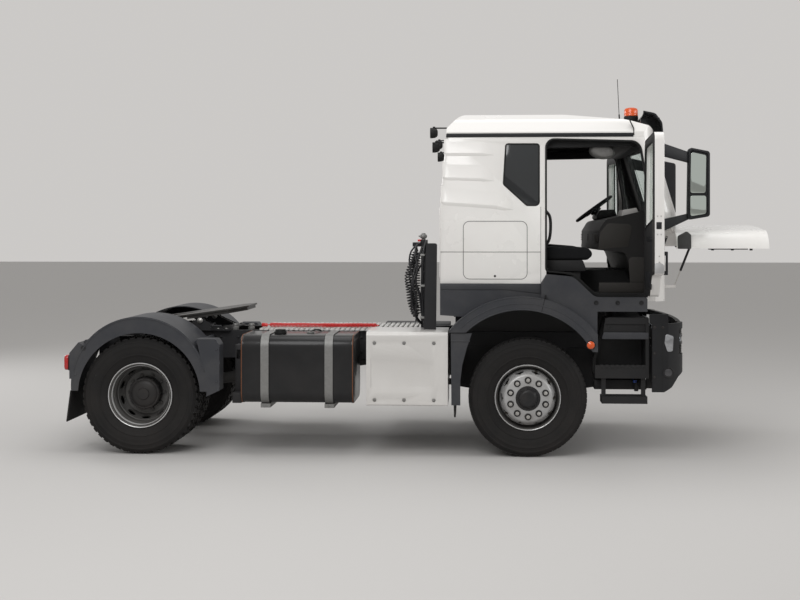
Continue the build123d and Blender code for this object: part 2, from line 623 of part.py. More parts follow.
def strap(x):
    """Steel strap round the tank on its bracket from the rail."""
    grow = STRAP_T
    outer = slab_yz([(TANK["y0"] - grow, TANK["z0"] - grow, TANK["r"] + grow),
                     (TANK["y1"] + grow, TANK["z0"] - grow, TANK["r"] + grow),
                     (TANK["y1"] + grow, TANK["z1"] + grow, TANK["r"] + grow),
                     (TANK["y0"] - grow, TANK["z1"] + grow, TANK["r"] + grow)],
                    x - STRAP_W / 2, x + STRAP_W / 2)
    band = outer - slab_yz(tank_rows, x - STRAP_W, x + STRAP_W)
    bracket = box(x - 45, x + 45, TANK["y1"] + grow, -RAIL_Y_REAR, 560, RAIL_TOP - 20)
    foot = box(x - 45, x + 45, TANK["y0"] + 60, TANK["y1"] + 60, TANK["z0"] - 43, TANK["z0"] - grow)
    corner = box(x - 45, x + 45, TANK["y1"] - 20, TANK["y1"] + 60, TANK["z0"] - 43, 600)
    return (band + bracket + foot + corner) - slab_yz(tank_rows, x - 200, x + 200)


write("tank_straps", [strap(x) for x in STRAP_X])

# Exhaust box cover on the right, battery box and air tanks on the left

COVER = dict(x0=-1483.0, x1=-733.0, y0=-BODY_HALF_W + 25.0, y1=-600.0, z0=470.0, z1=1148.0)
cover = slab_yz([(COVER["y0"], COVER["z0"], 8), (COVER["y1"], COVER["z0"], 0), (COVER["y1"], COVER["z1"], 0),
                 (COVER["y0"], COVER["z1"], 40)], COVER["x0"], COVER["x1"])
cover -= box(COVER["x0"] + 20, COVER["x1"] - 20, COVER["y0"] + 20, COVER["y1"] + 1, COVER["z0"] + 20,
             COVER["z1"] - 20)
silencer = box(COVER["x0"] + 45, COVER["x1"] - 45, COVER["y0"] + 60, -RAIL_Y_REAR - 95, 520, 1090)
write("exhaust_cover", cover)
silencer += box(COVER["x0"] + 20, COVER["x1"] - 20, -1000, -900, 700, 760)
write("silencer", silencer + box(-1300, -1010, -RAIL_Y_REAR - 95, -RAIL_Y_REAR, 850, 1050))
battery_y = BODY_HALF_W - 35.0
battery = slab_yz([(610, 520, 20), (battery_y, 520, 20), (battery_y, 1060, 40), (610, 1060, 20)], -1450, -760)
battery += box(-1300, -1010, RAIL_Y_REAR, 612, 850, 1000)
write("battery_box", battery)
air_tanks = []
drum_x = (REAR_X + 1020.0, -1680.0)
for tank_y in (650.0, 930.0):
    drum = Pos(sum(drum_x) / 2, tank_y, 800) * Rot(0, 90, 0) * Cylinder(123, drum_x[1] - drum_x[0])
    air_tanks.append(drum)
carrier = box(drum_x[0] + 180, drum_x[0] + 240, RAIL_Y_REAR, 1060, 915, 950)
carrier += box(drum_x[1] - 240, drum_x[1] - 180, RAIL_Y_REAR, 1060, 915, 950)
air_all = air_tanks[0] + air_tanks[1] + carrier
write("air_tanks", air_all)

# Catwalk: aluminium slats on two bearers over the frame

WALK_X = (REAR_X + 1000.0, -1020.0)
WALK_HALF_W = 460.0
SLAT_PITCH = 50.0
SLAT_W = 30.0
SLAT_T = 18.0
WALK_TOP = RAIL_TOP + 26.0
walk = None
for bearer_y in (-360.0, 360.0):
    bar = box(WALK_X[0], WALK_X[1], bearer_y - 20, bearer_y + 20, RAIL_TOP, WALK_TOP - SLAT_T)
    walk = bar if walk is None else walk + bar
slat_count = int((WALK_X[1] - WALK_X[0]) / SLAT_PITCH)
slats = [box(WALK_X[0] + SLAT_PITCH * i, WALK_X[0] + SLAT_PITCH * i + SLAT_W, -WALK_HALF_W, WALK_HALF_W,
             WALK_TOP - SLAT_T, WALK_TOP) for i in range(slat_count + 1)]
for slat in slats:
    walk += slat
for edge_y in (-WALK_HALF_W, WALK_HALF_W - 6):
    walk += box(WALK_X[0], WALK_X[1], edge_y, edge_y + 6, WALK_TOP - SLAT_T - 6, WALK_TOP - 2)
write("catwalk", walk)

# Fifth wheel: base plate and pedestals on the frame, tilting plate with its kingpin throat

PIVOT_Z = PLATE_TOP - PIVOT_DROP
PIVOT_Y = 360.0
base = box(COUPLING_X - 280, COUPLING_X + 300, -440, 440, RAIL_TOP, RAIL_TOP + 12)
for side in (-1, 1):
    for shift in (-46, 46):
        y = side * PIVOT_Y + shift
        ear = slab_xz([(COUPLING_X - 230, RAIL_TOP + 12, 0), (COUPLING_X + 230, RAIL_TOP + 12, 0),
                       (COUPLING_X + 50, PIVOT_Z, 0), (COUPLING_X + 36, PIVOT_Z + 26, 0),
                       (COUPLING_X - 36, PIVOT_Z + 26, 0), (COUPLING_X - 50, PIVOT_Z, 0)], y - 12, y + 12)
        base += ear
    base += Pos(COUPLING_X, side * PIVOT_Y, PIVOT_Z) * Rot(90, 0, 0) * Cylinder(17, 116)
write("fifth_wheel_base", base)

PLATE_T = 16.0
plate_rows = [(470, -250, 0), (470, 250, 0), (300, PLATE_HALF_W, 60), (-120, PLATE_HALF_W, 60),
              (-480, 330, 40), (-560, 190, 20), (-330, 110, 0), (-60, KINGPIN_NECK_R + 12, 0),
              (-60, -KINGPIN_NECK_R - 12, 0), (-330, -110, 0), (-560, -190, 20), (-480, -330, 40),
              (-120, -PLATE_HALF_W, 60), (300, -PLATE_HALF_W, 60)]
plate = extrude(outline(plate_rows), amount=-PLATE_T)
skirt = extrude(outline([(452, -240, 0), (452, 240, 0), (290, PLATE_HALF_W - 14, 0), (-120, PLATE_HALF_W - 14, 0),
                         (-120, 60, 0), (-120, -60, 0), (-120, -PLATE_HALF_W + 14, 0),
                         (290, -PLATE_HALF_W + 14, 0)]), amount=-46)
skirt -= Pos(0, 0, -PLATE_T) * extrude(outline([(432, -225, 0), (432, 225, 0), (275, PLATE_HALF_W - 34, 0),
                                               (-100, PLATE_HALF_W - 34, 0), (-100, -PLATE_HALF_W + 34, 0),
                                               (275, -PLATE_HALF_W + 34, 0)]), amount=-60)
plate += skirt
plate += box(-110, 90, -110, 110, -62, -PLATE_T)
for side in (-1, 1):
    plate += box(-60, 60, side * PIVOT_Y - 32, side * PIVOT_Y + 32, -60, -PLATE_T)
    plate += Pos(0, side * PIVOT_Y, -PIVOT_DROP) * Rot(90, 0, 0) * Cylinder(36, 64)
    plate -= Pos(0, side * PIVOT_Y, -PIVOT_DROP) * Rot(90, 0, 0) * Cylinder(17 + CLEAR, 90)
plate -= Cylinder(KINGPIN_NECK_R, 300)
plate -= box(-700, 0, -KINGPIN_NECK_R, KINGPIN_NECK_R, -100, 20)
plate = Pos(COUPLING_X, 0, PIVOT_Z) * Rot(0, -PLATE_TILT, 0) * Pos(0, 0, PIVOT_DROP) * plate
write("fifth_wheel_plate", plate)

# Line holder and intake duct behind the cab, with the coiled lines

COIL_X = -1065.0
COIL_TOP = 1925.0
COIL_LOW = 1190.0
COIL_R = 45.0
COIL_LEAN = (-62.0, -30.0, 0.0)
COIL_Y = (-425.0, -300.0, -170.0)
COLUMN_X = (-1010.0, -960.0)
holder = box(*COLUMN_X, -520, -470, RAIL_TOP, 1990)
holder += box(*COLUMN_X, -520, -320, RAIL_TOP, WALK_TOP)
holder += box(*COLUMN_X, -620, -60, 1940, 1990)
holder += slab_xz([(-965, COVER["z1"], 0), (-855, COVER["z1"], 0), (-845, 1960, 20), (-945, 1960, 20)], -900, -740)
holder += box(-1000, -940, -760, -470, 1170, 1220)
for coil_y in COIL_Y:
    holder += box(COIL_X - 30, COLUMN_X[0], coil_y - 25, coil_y + 25, COIL_TOP, COIL_TOP + 40)
write("line_holder", holder)


def cord(route, radius):
    """Round tube along a route with a bend at every point between its ends."""
    points = [Vector(*point) for point in route]
    radii = []
    for before, here, after in zip(points, points[1:], points[2:]):
        turn = (here - before).get_angle(after - here)
        run = min((here - before).length, (after - here).length)
        radii.append(0.45 * run / math.tan(math.radians(turn / 2)))
    path = FilletPolyline(*route, radius=radii)
    tube = sweep(Plane(origin=path @ 0, z_dir=path % 0) * Circle(radius), path=path)
    share = tube.volume / (math.pi * radius ** 2 * path.length)
    print("bend radii", [round(bend) for bend in radii], "volume share", round(share, 4))
    return tube


lines = []
for coil_y, lean in zip(COIL_Y, COIL_LEAN):
    route = [(COIL_X, coil_y, COIL_TOP), (COIL_X, coil_y, 1815),
             (COIL_X + lean - 12, coil_y - 12, 1670), (COIL_X + 0.9 * lean - 6, coil_y + 10, 1530),
             (COIL_X + 0.5 * lean - 18, coil_y - 6, 1390), (COIL_X, coil_y, 1275), (COIL_X, coil_y, COIL_LOW)]
    lines.append(cord(route, COIL_R))
    lines.append(box(COIL_X - 25, COIL_X + 25, coil_y - 25, coil_y + 25, WALK_TOP, COIL_LOW))
write("coiled_lines", lines)

# Red curly line lying on the catwalk, with its coupling head

HOSE_R = 22.0
HOSE_Z = WALK_TOP + HOSE_R + CLEAR
hose_x = WALK_X[0] + 54.0
hose_span = -1435.0 - hose_x
hose_route = [(hose_x, -300, HOSE_Z), (hose_x + 0.2574 * hose_span, -300, HOSE_Z),
              (hose_x + 0.5095 * hose_span, -330, HOSE_Z), (hose_x + 0.7525 * hose_span, -292, HOSE_Z),
              (hose_x + hose_span, -292, HOSE_Z)]
hose = [cord(hose_route, HOSE_R), rod((hose_x - 60, -300, HOSE_Z), (hose_x, -300, HOSE_Z), HOSE_R)]
write("red_line", hose)

# Cab shell: side walls with door and quarter window openings, rear wall, roof, floor and front

HEADER_Z = 2941.0
SCREEN_LOW = 2250.0
SCUTTLE_LOW = 2152.0
PILLAR_LOW_X = 1165.0
PILLAR_TOP_X = 1065.0
SCREEN_LOW_X = 1432.0
SCREEN_TOP_X = 1215.0
PILLAR_Y = CAB_HALF_W - 135.0
FLOOR_Z = 1450.0
FLOOR_T = 50.0
TUNNEL_HALF_W = 480.0
TUNNEL_TOP = 1700.0
DOOR_T = 85.0
DOOR_OUT_Y = CAB_HALF_W + 8.0
DOOR_INNER_Y = DOOR_OUT_Y - DOOR_T - 8.0

door_opening = [(166, 1700, 40), (166, 2927, 80), (1028, 2903, 100), (1112, 2406, 0), (1118, 1620, 0),
                (1100, 1492, 60), (618, 1490, 120), (420, 1680, 150)]
quarter_window = [(-205, 2885, 30), (112, 2884, 30), (112, 2306, 40), (-10, 2306, 40), (-228, 2505, 40)]
side_rows = [(CAB_REAR_X, CAB_BOTTOM, 0), (PILLAR_LOW_X, CAB_BOTTOM, 0), (PILLAR_LOW_X, SCREEN_LOW, 0),
             (PILLAR_TOP_X, HEADER_Z, 0), (-752, HEADER_Z, 0), (CAB_REAR_X, 2363, 0)]
side_out = -CAB_HALF_W
side_in = side_out + WALL_T


def cab_side():
    """Right side wall with its door and quarter window openings."""
    wall = slab_xz(side_rows, side_out, side_in)
    wall -= slab_xz(door_opening, side_out - 10, side_in + 10)
    wall -= slab_xz(quarter_window, side_out - 10, side_in + 10)
    for z0, z1 in DOOR_LUG_Z:
        wall -= box(DOOR_HINGE_X - 27, DOOR_HINGE_X + 25, side_out - 10, -DOOR_HINGE_Y + 24, z0 - 5, z1 + 5)
        wall += Pos(DOOR_HINGE_X, -DOOR_HINGE_Y, (z0 + z1) / 2) * Cylinder(DOOR_PIN_R, z1 - z0 + 12)
    return wall


SIDE = cab_side()
write("cab_side_right", SIDE)
write("cab_side_left", left(SIDE))

rear_rows = [(CAB_REAR_X, CAB_BOTTOM, 0), (CAB_REAR_X, 2363, 0), (-752, HEADER_Z, 0), (-712, HEADER_Z, 0),
             (CAB_REAR_X + 40, 2363, 0), (CAB_REAR_X + 40, CAB_BOTTOM, 0)]
REAR_WALL = slab_xz(rear_rows, side_in, -side_in)
write("cab_rear_wall", REAR_WALL)


def roof_block(inset):
    """Roof form, closed below at the header; inset draws the inside."""
    top = ROOF_TOP - inset
    side = [(-752 + inset, HEADER_Z - inset, 0), (-745 + inset, 3030, 0), (-610 + inset, top, 110),
            (350, top, 0), (905, 3108 - inset, 300), (1125 - inset, 3045 - inset, 110),
            (SCREEN_TOP_X - inset, HEADER_Z - inset, 0)]
    half = CAB_HALF_W - inset
    across = [(-half, HEADER_Z - inset, 0), (-half, 2990, 0), (-half + 70, 3105 - inset, 70),
              (-half + 260, top + 6, 150), (0, top + 26, 0), (half - 260, top + 6, 150),
              (half - 70, 3105 - inset, 70), (half, 2990, 0), (half, HEADER_Z - inset, 0)]
    form = slab_xz(side, -1300, 1300) & slab_yz(across, -1200, 1400)
    plan = bowed(SCREEN_TOP_X - inset, half, PILLAR_TOP_X - inset, 2800, 3300)
    plan += box(-900, PILLAR_TOP_X - inset, -half, half, 2800, 3300)
    return form & plan


ROOF_OUT = roof_block(0.0)
roof = ROOF_OUT - roof_block(40.0)
roof &= box(-1000, 1500, -1300, 1300, HEADER_Z, 3400)
write("cab_roof", roof)

floor = box(CAB_REAR_X + 40, PILLAR_LOW_X, side_in, -side_in, FLOOR_Z, FLOOR_Z + FLOOR_T)
floor += box(CAB_REAR_X + 40, PILLAR_LOW_X, -TUNNEL_HALF_W, TUNNEL_HALF_W, FLOOR_Z, TUNNEL_TOP)
for side in (-1, 1):
    y0, y1 = sorted((side * DOOR_INNER_Y, -side * (side_in - 1)))
    floor -= box(150, DOOR_HINGE_X + 10, y0, y1, 1485, FLOOR_Z + FLOOR_T + 1)
floor -= box(CAB_REAR_X, PILLAR_LOW_X + 10, -TUNNEL_HALF_W + 30, TUNNEL_HALF_W - 30, FLOOR_Z - 10, TUNNEL_TOP - 30)
for side in (-1, 1):
    y0, y1 = sorted(side * y for y in TILT_ARM_Y)
    floor += slab_xz([(TILT_X - 36, TILT_Z - 20, 15), (TILT_X, TILT_Z - 40, 15), (TILT_X + 36, TILT_Z, 20),
                      (TILT_X - 15, TILT_Z + 46, 0), (930, FLOOR_Z, 0), (780, FLOOR_Z, 0)], y0, y1)
    floor -= Pos(TILT_X, (y0 + y1) / 2, TILT_Z) * Rot(90, 0, 0) * Cylinder(TILT_PIN_R + CLEAR, 90)
write("cab_floor", floor)

def screen_shell(outer, inner):
    """Layer of the sloping windscreen form between two depths below its face."""
    def form(depth):
        faces = [bow_plan(SCREEN_LOW_X - depth, CAB_HALF_W - depth, PILLAR_LOW_X - 0.5 * (depth > 0)),
                 Pos(0, 0, HEADER_Z - SCREEN_LOW)
                 * bow_plan(SCREEN_TOP_X - depth, CAB_HALF_W - depth, PILLAR_TOP_X - 0.5 * (depth > 0))]
        return Pos(0, 0, SCREEN_LOW) * loft(faces, ruled=True)
    return form(outer) - form(inner)


frame_shell = screen_shell(0.0, 42.0)
pillars = frame_shell - box(0, 2000, -PILLAR_Y, PILLAR_Y, SCREEN_LOW - 1, HEADER_Z - 60)
front = bowed_shell(1320, CAB_HALF_W, PILLAR_LOW_X, CAB_BOTTOM, SCUTTLE_LOW, 40)
front += bowed(SCREEN_LOW_X, CAB_HALF_W, PILLAR_LOW_X, SCUTTLE_LOW, SCUTTLE_LOW + 12)
front += bowed_shell(SCREEN_LOW_X, CAB_HALF_W, PILLAR_LOW_X, SCUTTLE_LOW, SCREEN_LOW, 42)
front += pillars
LUG_Y = 600.0
LUG_GAP = 32.0
HINGE_PIN_R = 9.0
EAR_IN = 14.0
EAR_T = 6.0
for side in (-1, 1):
    for lug_y in (LUG_Y - LUG_GAP, LUG_Y + LUG_GAP):
        y = side * lug_y
        front += slab_xz([(1270, 2030, 0), (1400, 2044, 0), (1416, 2048, 10), (1416, 2072, 10), (1400, 2072, 0),
                          (1270, 2072, 0)], y - 9, y + 9)
    front += Pos(FLAP_HINGE_X, side * LUG_Y, FLAP_HINGE_Z) * Rot(90, 0, 0) * Cylinder(HINGE_PIN_R, 2 * LUG_GAP + 10)
    pin_x, pin_z = STRUT_CAB_PIN
    y0, y1 = sorted((side * (STRUT_Y + EAR_IN), side * (STRUT_Y + EAR_IN + EAR_T)))
    front += box(1240, pin_x + 12, y0, y1, pin_z - 12, pin_z + 12)
    y0, y1 = sorted((side * (STRUT_Y - 12), side * (STRUT_Y + EAR_IN + 2)))
    front += Pos(pin_x, (y0 + y1) / 2, pin_z) * Rot(90, 0, 0) * Cylinder(STRUT_PIN_R, y1 - y0)
write("cab_front", front)

glass_shell = screen_shell(4.0, 10.0)
screen_glass = glass_shell & box(900, 2000, -PILLAR_Y + CLEAR, PILLAR_Y - CLEAR, SCREEN_LOW + 1, HEADER_Z - 60 - CLEAR)


def pane(rows, y0, y1):
    """Flat pane that fills a window, a hair smaller than its opening."""
    face = offset(outline(rows), amount=-CLEAR)
    return Pos(0, y0, 0) * extrude(Plane.XZ * face, amount=y1 - y0, dir=(0, 1, 0))


write("cab_glass", [screen_glass] + both(pane(quarter_window, -CAB_HALF_W + 16, -CAB_HALF_W + 22)))

# Wheel arch trim with the sill panel, on the cab

SILL_LOW = 1340.0


def wing():
    """Right arch trim: skirt, arch flare and sill panel, parted from the steps on the tilt circle."""
    arch = Pos(ARCH_X, 0, ARCH_Z) * Rot(90, 0, 0) * Cylinder(ARCH_R, 4000)
    skirt = slab_xz([(-806, 1299, 0), (-336, 1269, 0), (-200, 1300, 0), (123, 1300, 0), (123, 1592, 0),
                     (-806, 1592, 0)], side_out - 30, side_out)
    panel = slab_xz([(123, 1300, 0), (560, 974, 0), (632, 974, 0), (632, SILL_LOW, 0), (1085, SILL_LOW, 0),
                     (1085, 1470, 20), (612, 1470, 110), (416, 1658, 140), (172, 1680, 20), (123, 1600, 0)],
                    side_out - 80, side_out - 20)
    panel += slab_xz([(123, 1440, 0), (1085, 1440, 0), (1085, 1470, 0), (612, 1470, 110), (416, 1658, 140),
                      (172, 1680, 20), (123, 1600, 0)], side_out - 22, side_out)
    ring = Pos(ARCH_X, side_out - 20, ARCH_Z) * Rot(90, 0, 0) * Cylinder(ARCH_R + 125, 220)
    ring &= slab_xz([(-720, 1146, 0), (-300, 1146, 0), (0, 1000, 0), (400, 974, 0), (632, 974, 0),
                     (632, 1600, 0), (-720, 1600, 0)], -BODY_HALF_W, side_out + 100)
    trim = (skirt + panel + ring) - arch
    liner_low = slab_xz(side_rows, side_out, side_out + 300)
    return trim - liner_low


write("wheel_arch_trims", both(wing()))

# Sun visor, dashboard, steering wheel, seats, bunk and roof fittings

BOW_R = (CORNER_Y ** 2 + FRONT_BOW ** 2) / (2 * FRONT_BOW)
VISOR_HALF_W = CAB_HALF_W - 90.0
VISOR_DX = 45.0
visor_rows = [(1090, 3190, 0), (1200, 3165, 60), (1262, 3080, 60), (1272, 2972, 0), (1260, 2972, 0),
              (1249, 3072, 50), (1190, 3150, 50), (1088, 3176, 0)]
visor_axis = Axis((SCREEN_TOP_X - BOW_R, 0, 0), (0, 0, 1))
visor_angle = 2 * math.degrees(math.asin(VISOR_HALF_W / BOW_R))
visor_face = Pos(VISOR_DX, 0, 0) * Plane.XZ * outline(visor_rows)
visor = revolve(visor_face.rotate(visor_axis, -visor_angle / 2), axis=visor_axis, revolution_arc=visor_angle)
for y in (-700, 0, 700):
    visor += box(1080, 1262, y - 15, y + 15, 3000, 3150)
visor -= ROOF_OUT
visor = max(visor.solids(), key=lambda solid: solid.volume)
write("sun_visor", visor)

dash_rows = [(660, 1900, 0), (660, 2080, 30), (720, 2180, 60), (1060, 2262, 0), (1150, 2225, 0), (1160, FLOOR_Z + FLOOR_T, 0),
             (1040, FLOOR_Z + FLOOR_T, 0), (900, 1880, 60)]
DASH_HALF_W = CAB_HALF_W - WALL_T - 24.0
dashboard = slab_xz(dash_rows, -DASH_HALF_W, DASH_HALF_W)
write("dashboard", dashboard - box(600, 1200, -TUNNEL_HALF_W, TUNNEL_HALF_W, FLOOR_Z, TUNNEL_TOP))

WHEEL_TILT = 36.0
wheel_rim = Torus(215, 15)
wheel_rim += Pos(0, 0, -25) * Cylinder(60, 40)
for angle in (0, 120, 240):
    wheel_rim += Rot(0, 0, angle) * Pos(110, 0, -12) * Box(205, 34, 14)
wheel_rim += rod((0, 0, -30), (0, 0, -260), 34)
wheel_rim = Pos(758, CAB_HALF_W - 500, 2312) * Rot(0, -WHEEL_TILT, 0) * wheel_rim
wheel_rim -= slab_xz(dash_rows, -1100, 1100)
wheel_rim = max(wheel_rim.solids(), key=lambda solid: solid.volume)
write("steering_wheel", wheel_rim)


def seat(y):
    """Suspension seat: pedestal, cushion and backrest."""
    body = box(180, 520, y - 190, y + 190, FLOOR_Z + FLOOR_T, 1800)
    body += slab_xz([(90, 1800, 20), (640, 1800, 30), (640, 1925, 40), (300, 1945, 0), (90, 1900, 0)], y - 255, y + 255)
    body += slab_xz([(90, 1840, 0), (150, 1900, 0), (40, 2600, 30), (-70, 2600, 40), (-30, 1860, 30)], y - 235, y + 235)
    return body


bunk = box(CAB_REAR_X + 40, -150, side_in, -side_in, TUNNEL_TOP, 1880)
write("seats", [seat(370 - CAB_HALF_W), seat(CAB_HALF_W - 370), bunk])

fittings = []
for side in (-1, 1):
    y = side * 700
    beacon = Pos(993, y, 3128) * Cylinder(68, 80) + Pos(993, y, 3205) * Cylinder(66, 86)
    fittings.append(beacon - ROOF_OUT)
    lamp = Pos(-872, side * 850, 3003) * Rot(0, 90, 0) * Cylinder(52, 76)
    lamp += box(-880, -720, side * 850 - 12, side * 850 + 12, 3040, 3064)
    fittings.append(lamp - ROOF_OUT)
    low_lamp = Pos(-852, side * 800, 2870) * Rot(0, 90, 0) * Cylinder(50, 76)
    low_lamp += box(-830, -740, side * 800 - 12, side * 800 + 12, 2882, 2906)
    fittings.append(low_lamp - REAR_WALL)
fittings.append(rod((905, -500, 3100), (905, -500, 3210), 9) + rod((905, -500, 3200), (885, -500, 3540), 4) - ROOF_OUT)
write("roof_fittings", [max(piece.solids(), key=lambda solid: solid.volume) for piece in fittings])

# Doors, drawn closed and turned open about their hinges

WINDOW = [(245, 2170, 40), (245, 2850, 60), (965, 2830, 60), (1040, 2400, 0), (1042, 2070, 60), (900, 2110, 60)]
MIRROR_Y = (-CAB_HALF_W - 520.0, -CAB_HALF_W - 315.0)
MIRROR_X = (1140.0, 1255.0)
MIRROR_Z = (2180.0, 2845.0)


def swing(shape, degrees):
    """Right-hand piece turned about the right door hinge."""
    return Pos(DOOR_HINGE_X, -DOOR_HINGE_Y, 0) * Rot(0, 0, degrees) * Pos(-DOOR_HINGE_X, DOOR_HINGE_Y, 0) * shape


door_face = offset(outline(door_opening), amount=-DOOR_GAP)
door = Pos(0, -DOOR_OUT_Y, 0) * extrude(Plane.XZ * door_face, amount=DOOR_T, dir=(0, 1, 0))
door -= slab_xz(WINDOW, -DOOR_OUT_Y - 10, -DOOR_OUT_Y + DOOR_T + 10)
for z0, z1 in DOOR_LUG_Z:
    door += Pos(DOOR_HINGE_X, -DOOR_HINGE_Y, (z0 + z1) / 2) * Cylinder(DOOR_LUG_R, z1 - z0)
    door += box(DOOR_HINGE_X - 40, DOOR_HINGE_X, -DOOR_HINGE_Y - DOOR_LUG_R, -DOOR_HINGE_Y + 4, z0, z1)
    door -= Pos(DOOR_HINGE_X, -DOOR_HINGE_Y, (z0 + z1) / 2) * Cylinder(DOOR_PIN_R + CLEAR, z1 - z0 + 20)
door_glass = pane(WINDOW, -DOOR_OUT_Y + 40, -DOOR_OUT_Y + 45)


def arm(root, tip, tip_y):
    """Moulded arm from the door's outer face to a mirror, between two outlines seen from the side."""
    faces = [Pos(0, y, 0) * Plane.XZ * outline(rows) for rows, y in ((root, -DOOR_OUT_Y), (tip, tip_y))]
    return loft(faces, ruled=True)


def mirror_unit():
    """Main mirror housing on an upper and a lower arm from the door."""
    housing = slab_yz([(MIRROR_Y[0], MIRROR_Z[0] + 30, 30), (MIRROR_Y[1], MIRROR_Z[0] - 5, 30),
                       (MIRROR_Y[1] - 10, MIRROR_Z[1], 30), (MIRROR_Y[0], MIRROR_Z[1] - 40, 30)],
                      MIRROR_X[0], MIRROR_X[1])
    unit = housing
    reach = MIRROR_Y[1] - 20
    unit += arm([(955, 2770, 12), (1015, 2770, 12), (1015, 2895, 25), (955, 2895, 25)],
                [(1160, 2700, 12), (1215, 2700, 12), (1215, 2800, 20), (1160, 2800, 20)], reach)
    unit += arm([(1035, 2035, 12), (1085, 2035, 12), (1085, 2165, 12), (1035, 2165, 12)],
                [(1160, 2185, 12), (1215, 2185, 12), (1215, 2240, 12), (1160, 2240, 12)], reach)
    return unit


for name, mirrored in (("right", False), ("left", True)):
    hand = left if mirrored else (lambda shape: shape)
    write("door_" + name, hand(swing(door, DOOR_OPEN)))
    write("door_glass_" + name, hand(swing(door_glass, DOOR_OPEN)))
    write("mirror_" + name, hand(swing(mirror_unit(), DOOR_OPEN)))

# Front flap, drawn closed and turned up about its hinge, and its gas struts

flap = bowed_shell(FRONT_X, CAB_HALF_W + 10, 1255, FLAP_BOTTOM, FLAP_TOP, FLAP_T)
for side in (-1, 1):
    y = side * LUG_Y
    flap += box(FLAP_HINGE_X - 16, 1450, y - 20, y + 20, FLAP_HINGE_Z - 16, FLAP_HINGE_Z + 16)
    flap -= Pos(FLAP_HINGE_X, y, FLAP_HINGE_Z) * Rot(90, 0, 0) * Cylinder(HINGE_PIN_R + CLEAR, 60)


def flap_open(shape, degrees=FLAP_OPEN):
    """Piece turned about the flap hinge, upwards for a positive angle."""
    return turned_y(shape, FLAP_HINGE_X, FLAP_HINGE_Z, -degrees)


open_x = STRUT_FLAP_PIN[0] - FLAP_HINGE_X
open_z = STRUT_FLAP_PIN[1] - FLAP_HINGE_Z
pin_x = FLAP_HINGE_X + open_z
pin_z = FLAP_HINGE_Z - open_x
for side in (-1, 1):
    y0, y1 = sorted((side * (STRUT_Y + EAR_IN), side * (STRUT_Y + EAR_IN + EAR_T)))
    flap += box(pin_x - 12, 1410, y0, y1, pin_z - 12, pin_z + 12)
    y0, y1 = sorted((side * (STRUT_Y - 12), side * (STRUT_Y + EAR_IN + 2)))
    flap += Pos(pin_x, (y0 + y1) / 2, pin_z) * Rot(90, 0, 0) * Cylinder(STRUT_PIN_R, y1 - y0)
write("front_flap", flap_open(flap))

tube_dir = (Vector(STRUT_CAB_PIN[0], 0, STRUT_CAB_PIN[1]) - Vector(STRUT_FLAP_PIN[0], 0, STRUT_FLAP_PIN[1]))
strut_len = tube_dir.length
tube_dir = tube_dir.normalized()


def along(distance, y):
    """Point on the strut's axis, measured from its pin on the flap."""
    return (STRUT_FLAP_PIN[0] + tube_dir.X * distance, y, STRUT_FLAP_PIN[1] + tube_dir.Z * distance)


TUBE_END = 330.0
tubes, rods = [], []
for side in (-1, 1):
    y = side * STRUT_Y
    tube = rod(along(0, y), along(TUBE_END, y), STRUT_TUBE_R)
    tube += Pos(*along(0, y)) * Rot(90, 0, 0) * Cylinder(12, 20)
    tube -= Pos(*along(0, y)) * Rot(90, 0, 0) * Cylinder(STRUT_PIN_R + CLEAR, 60)
    tube -= rod(along(120, y), along(TUBE_END + 10, y), STRUT_ROD_R + CLEAR)
    tubes.append(tube)
    bar = rod(along(TUBE_END - 70, y), along(strut_len, y), STRUT_ROD_R)
    bar += Pos(*along(strut_len, y)) * Rot(90, 0, 0) * Cylinder(11, 20)
    bar -= Pos(*along(strut_len, y)) * Rot(90, 0, 0) * Cylinder(STRUT_PIN_R + CLEAR, 60)
    rods.append(bar)
write("strut_tubes", tubes)
write("strut_rods", rods)
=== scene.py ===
import math

import bpy
from mathutils import Matrix, Vector


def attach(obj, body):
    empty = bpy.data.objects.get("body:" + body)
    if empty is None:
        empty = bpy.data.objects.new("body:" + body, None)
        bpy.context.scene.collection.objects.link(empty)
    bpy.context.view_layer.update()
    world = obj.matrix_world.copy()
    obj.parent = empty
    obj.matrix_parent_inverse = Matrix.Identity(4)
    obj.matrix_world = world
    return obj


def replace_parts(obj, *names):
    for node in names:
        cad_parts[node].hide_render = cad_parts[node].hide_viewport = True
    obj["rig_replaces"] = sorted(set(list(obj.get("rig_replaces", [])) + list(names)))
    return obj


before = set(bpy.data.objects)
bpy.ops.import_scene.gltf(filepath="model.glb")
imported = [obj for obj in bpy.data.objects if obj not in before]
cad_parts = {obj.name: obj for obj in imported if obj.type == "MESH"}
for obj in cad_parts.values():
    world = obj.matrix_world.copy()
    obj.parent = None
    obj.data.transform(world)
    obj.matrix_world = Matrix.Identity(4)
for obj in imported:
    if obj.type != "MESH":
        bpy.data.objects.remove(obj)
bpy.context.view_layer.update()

# Camera, floor and lamps. The object stands on a pale studio floor. The camera is level, at the
# height and distance that the photograph was taken from, with its frame moved down a little.
LENS_MM = 59.6
EYE = (0.609, -13.377, 2.058)
YAW = math.radians(3.4)
SHIFT_DOWN = -0.0838

camera_data = bpy.data.cameras.new("studio_camera")
camera_data.lens = LENS_MM
camera_data.sensor_width = 36.0
camera_data.shift_y = SHIFT_DOWN
camera_data.clip_end = 200.0
camera = bpy.data.objects.new("studio_camera", camera_data)
camera.location = EYE
camera.rotation_euler = (math.radians(90), 0.0, YAW)
bpy.context.scene.collection.objects.link(camera)
bpy.context.scene.camera = camera
bpy.context.scene.view_settings.view_transform = "Standard"


def links(material):
    """Turns nodes on and gives the material's node tree with its shader and its coordinates."""
    material.use_nodes = True
    tree = material.node_tree
    shader = tree.nodes["Principled BSDF"]
    coords = tree.nodes.new("ShaderNodeTexCoord")
    return tree, shader, coords


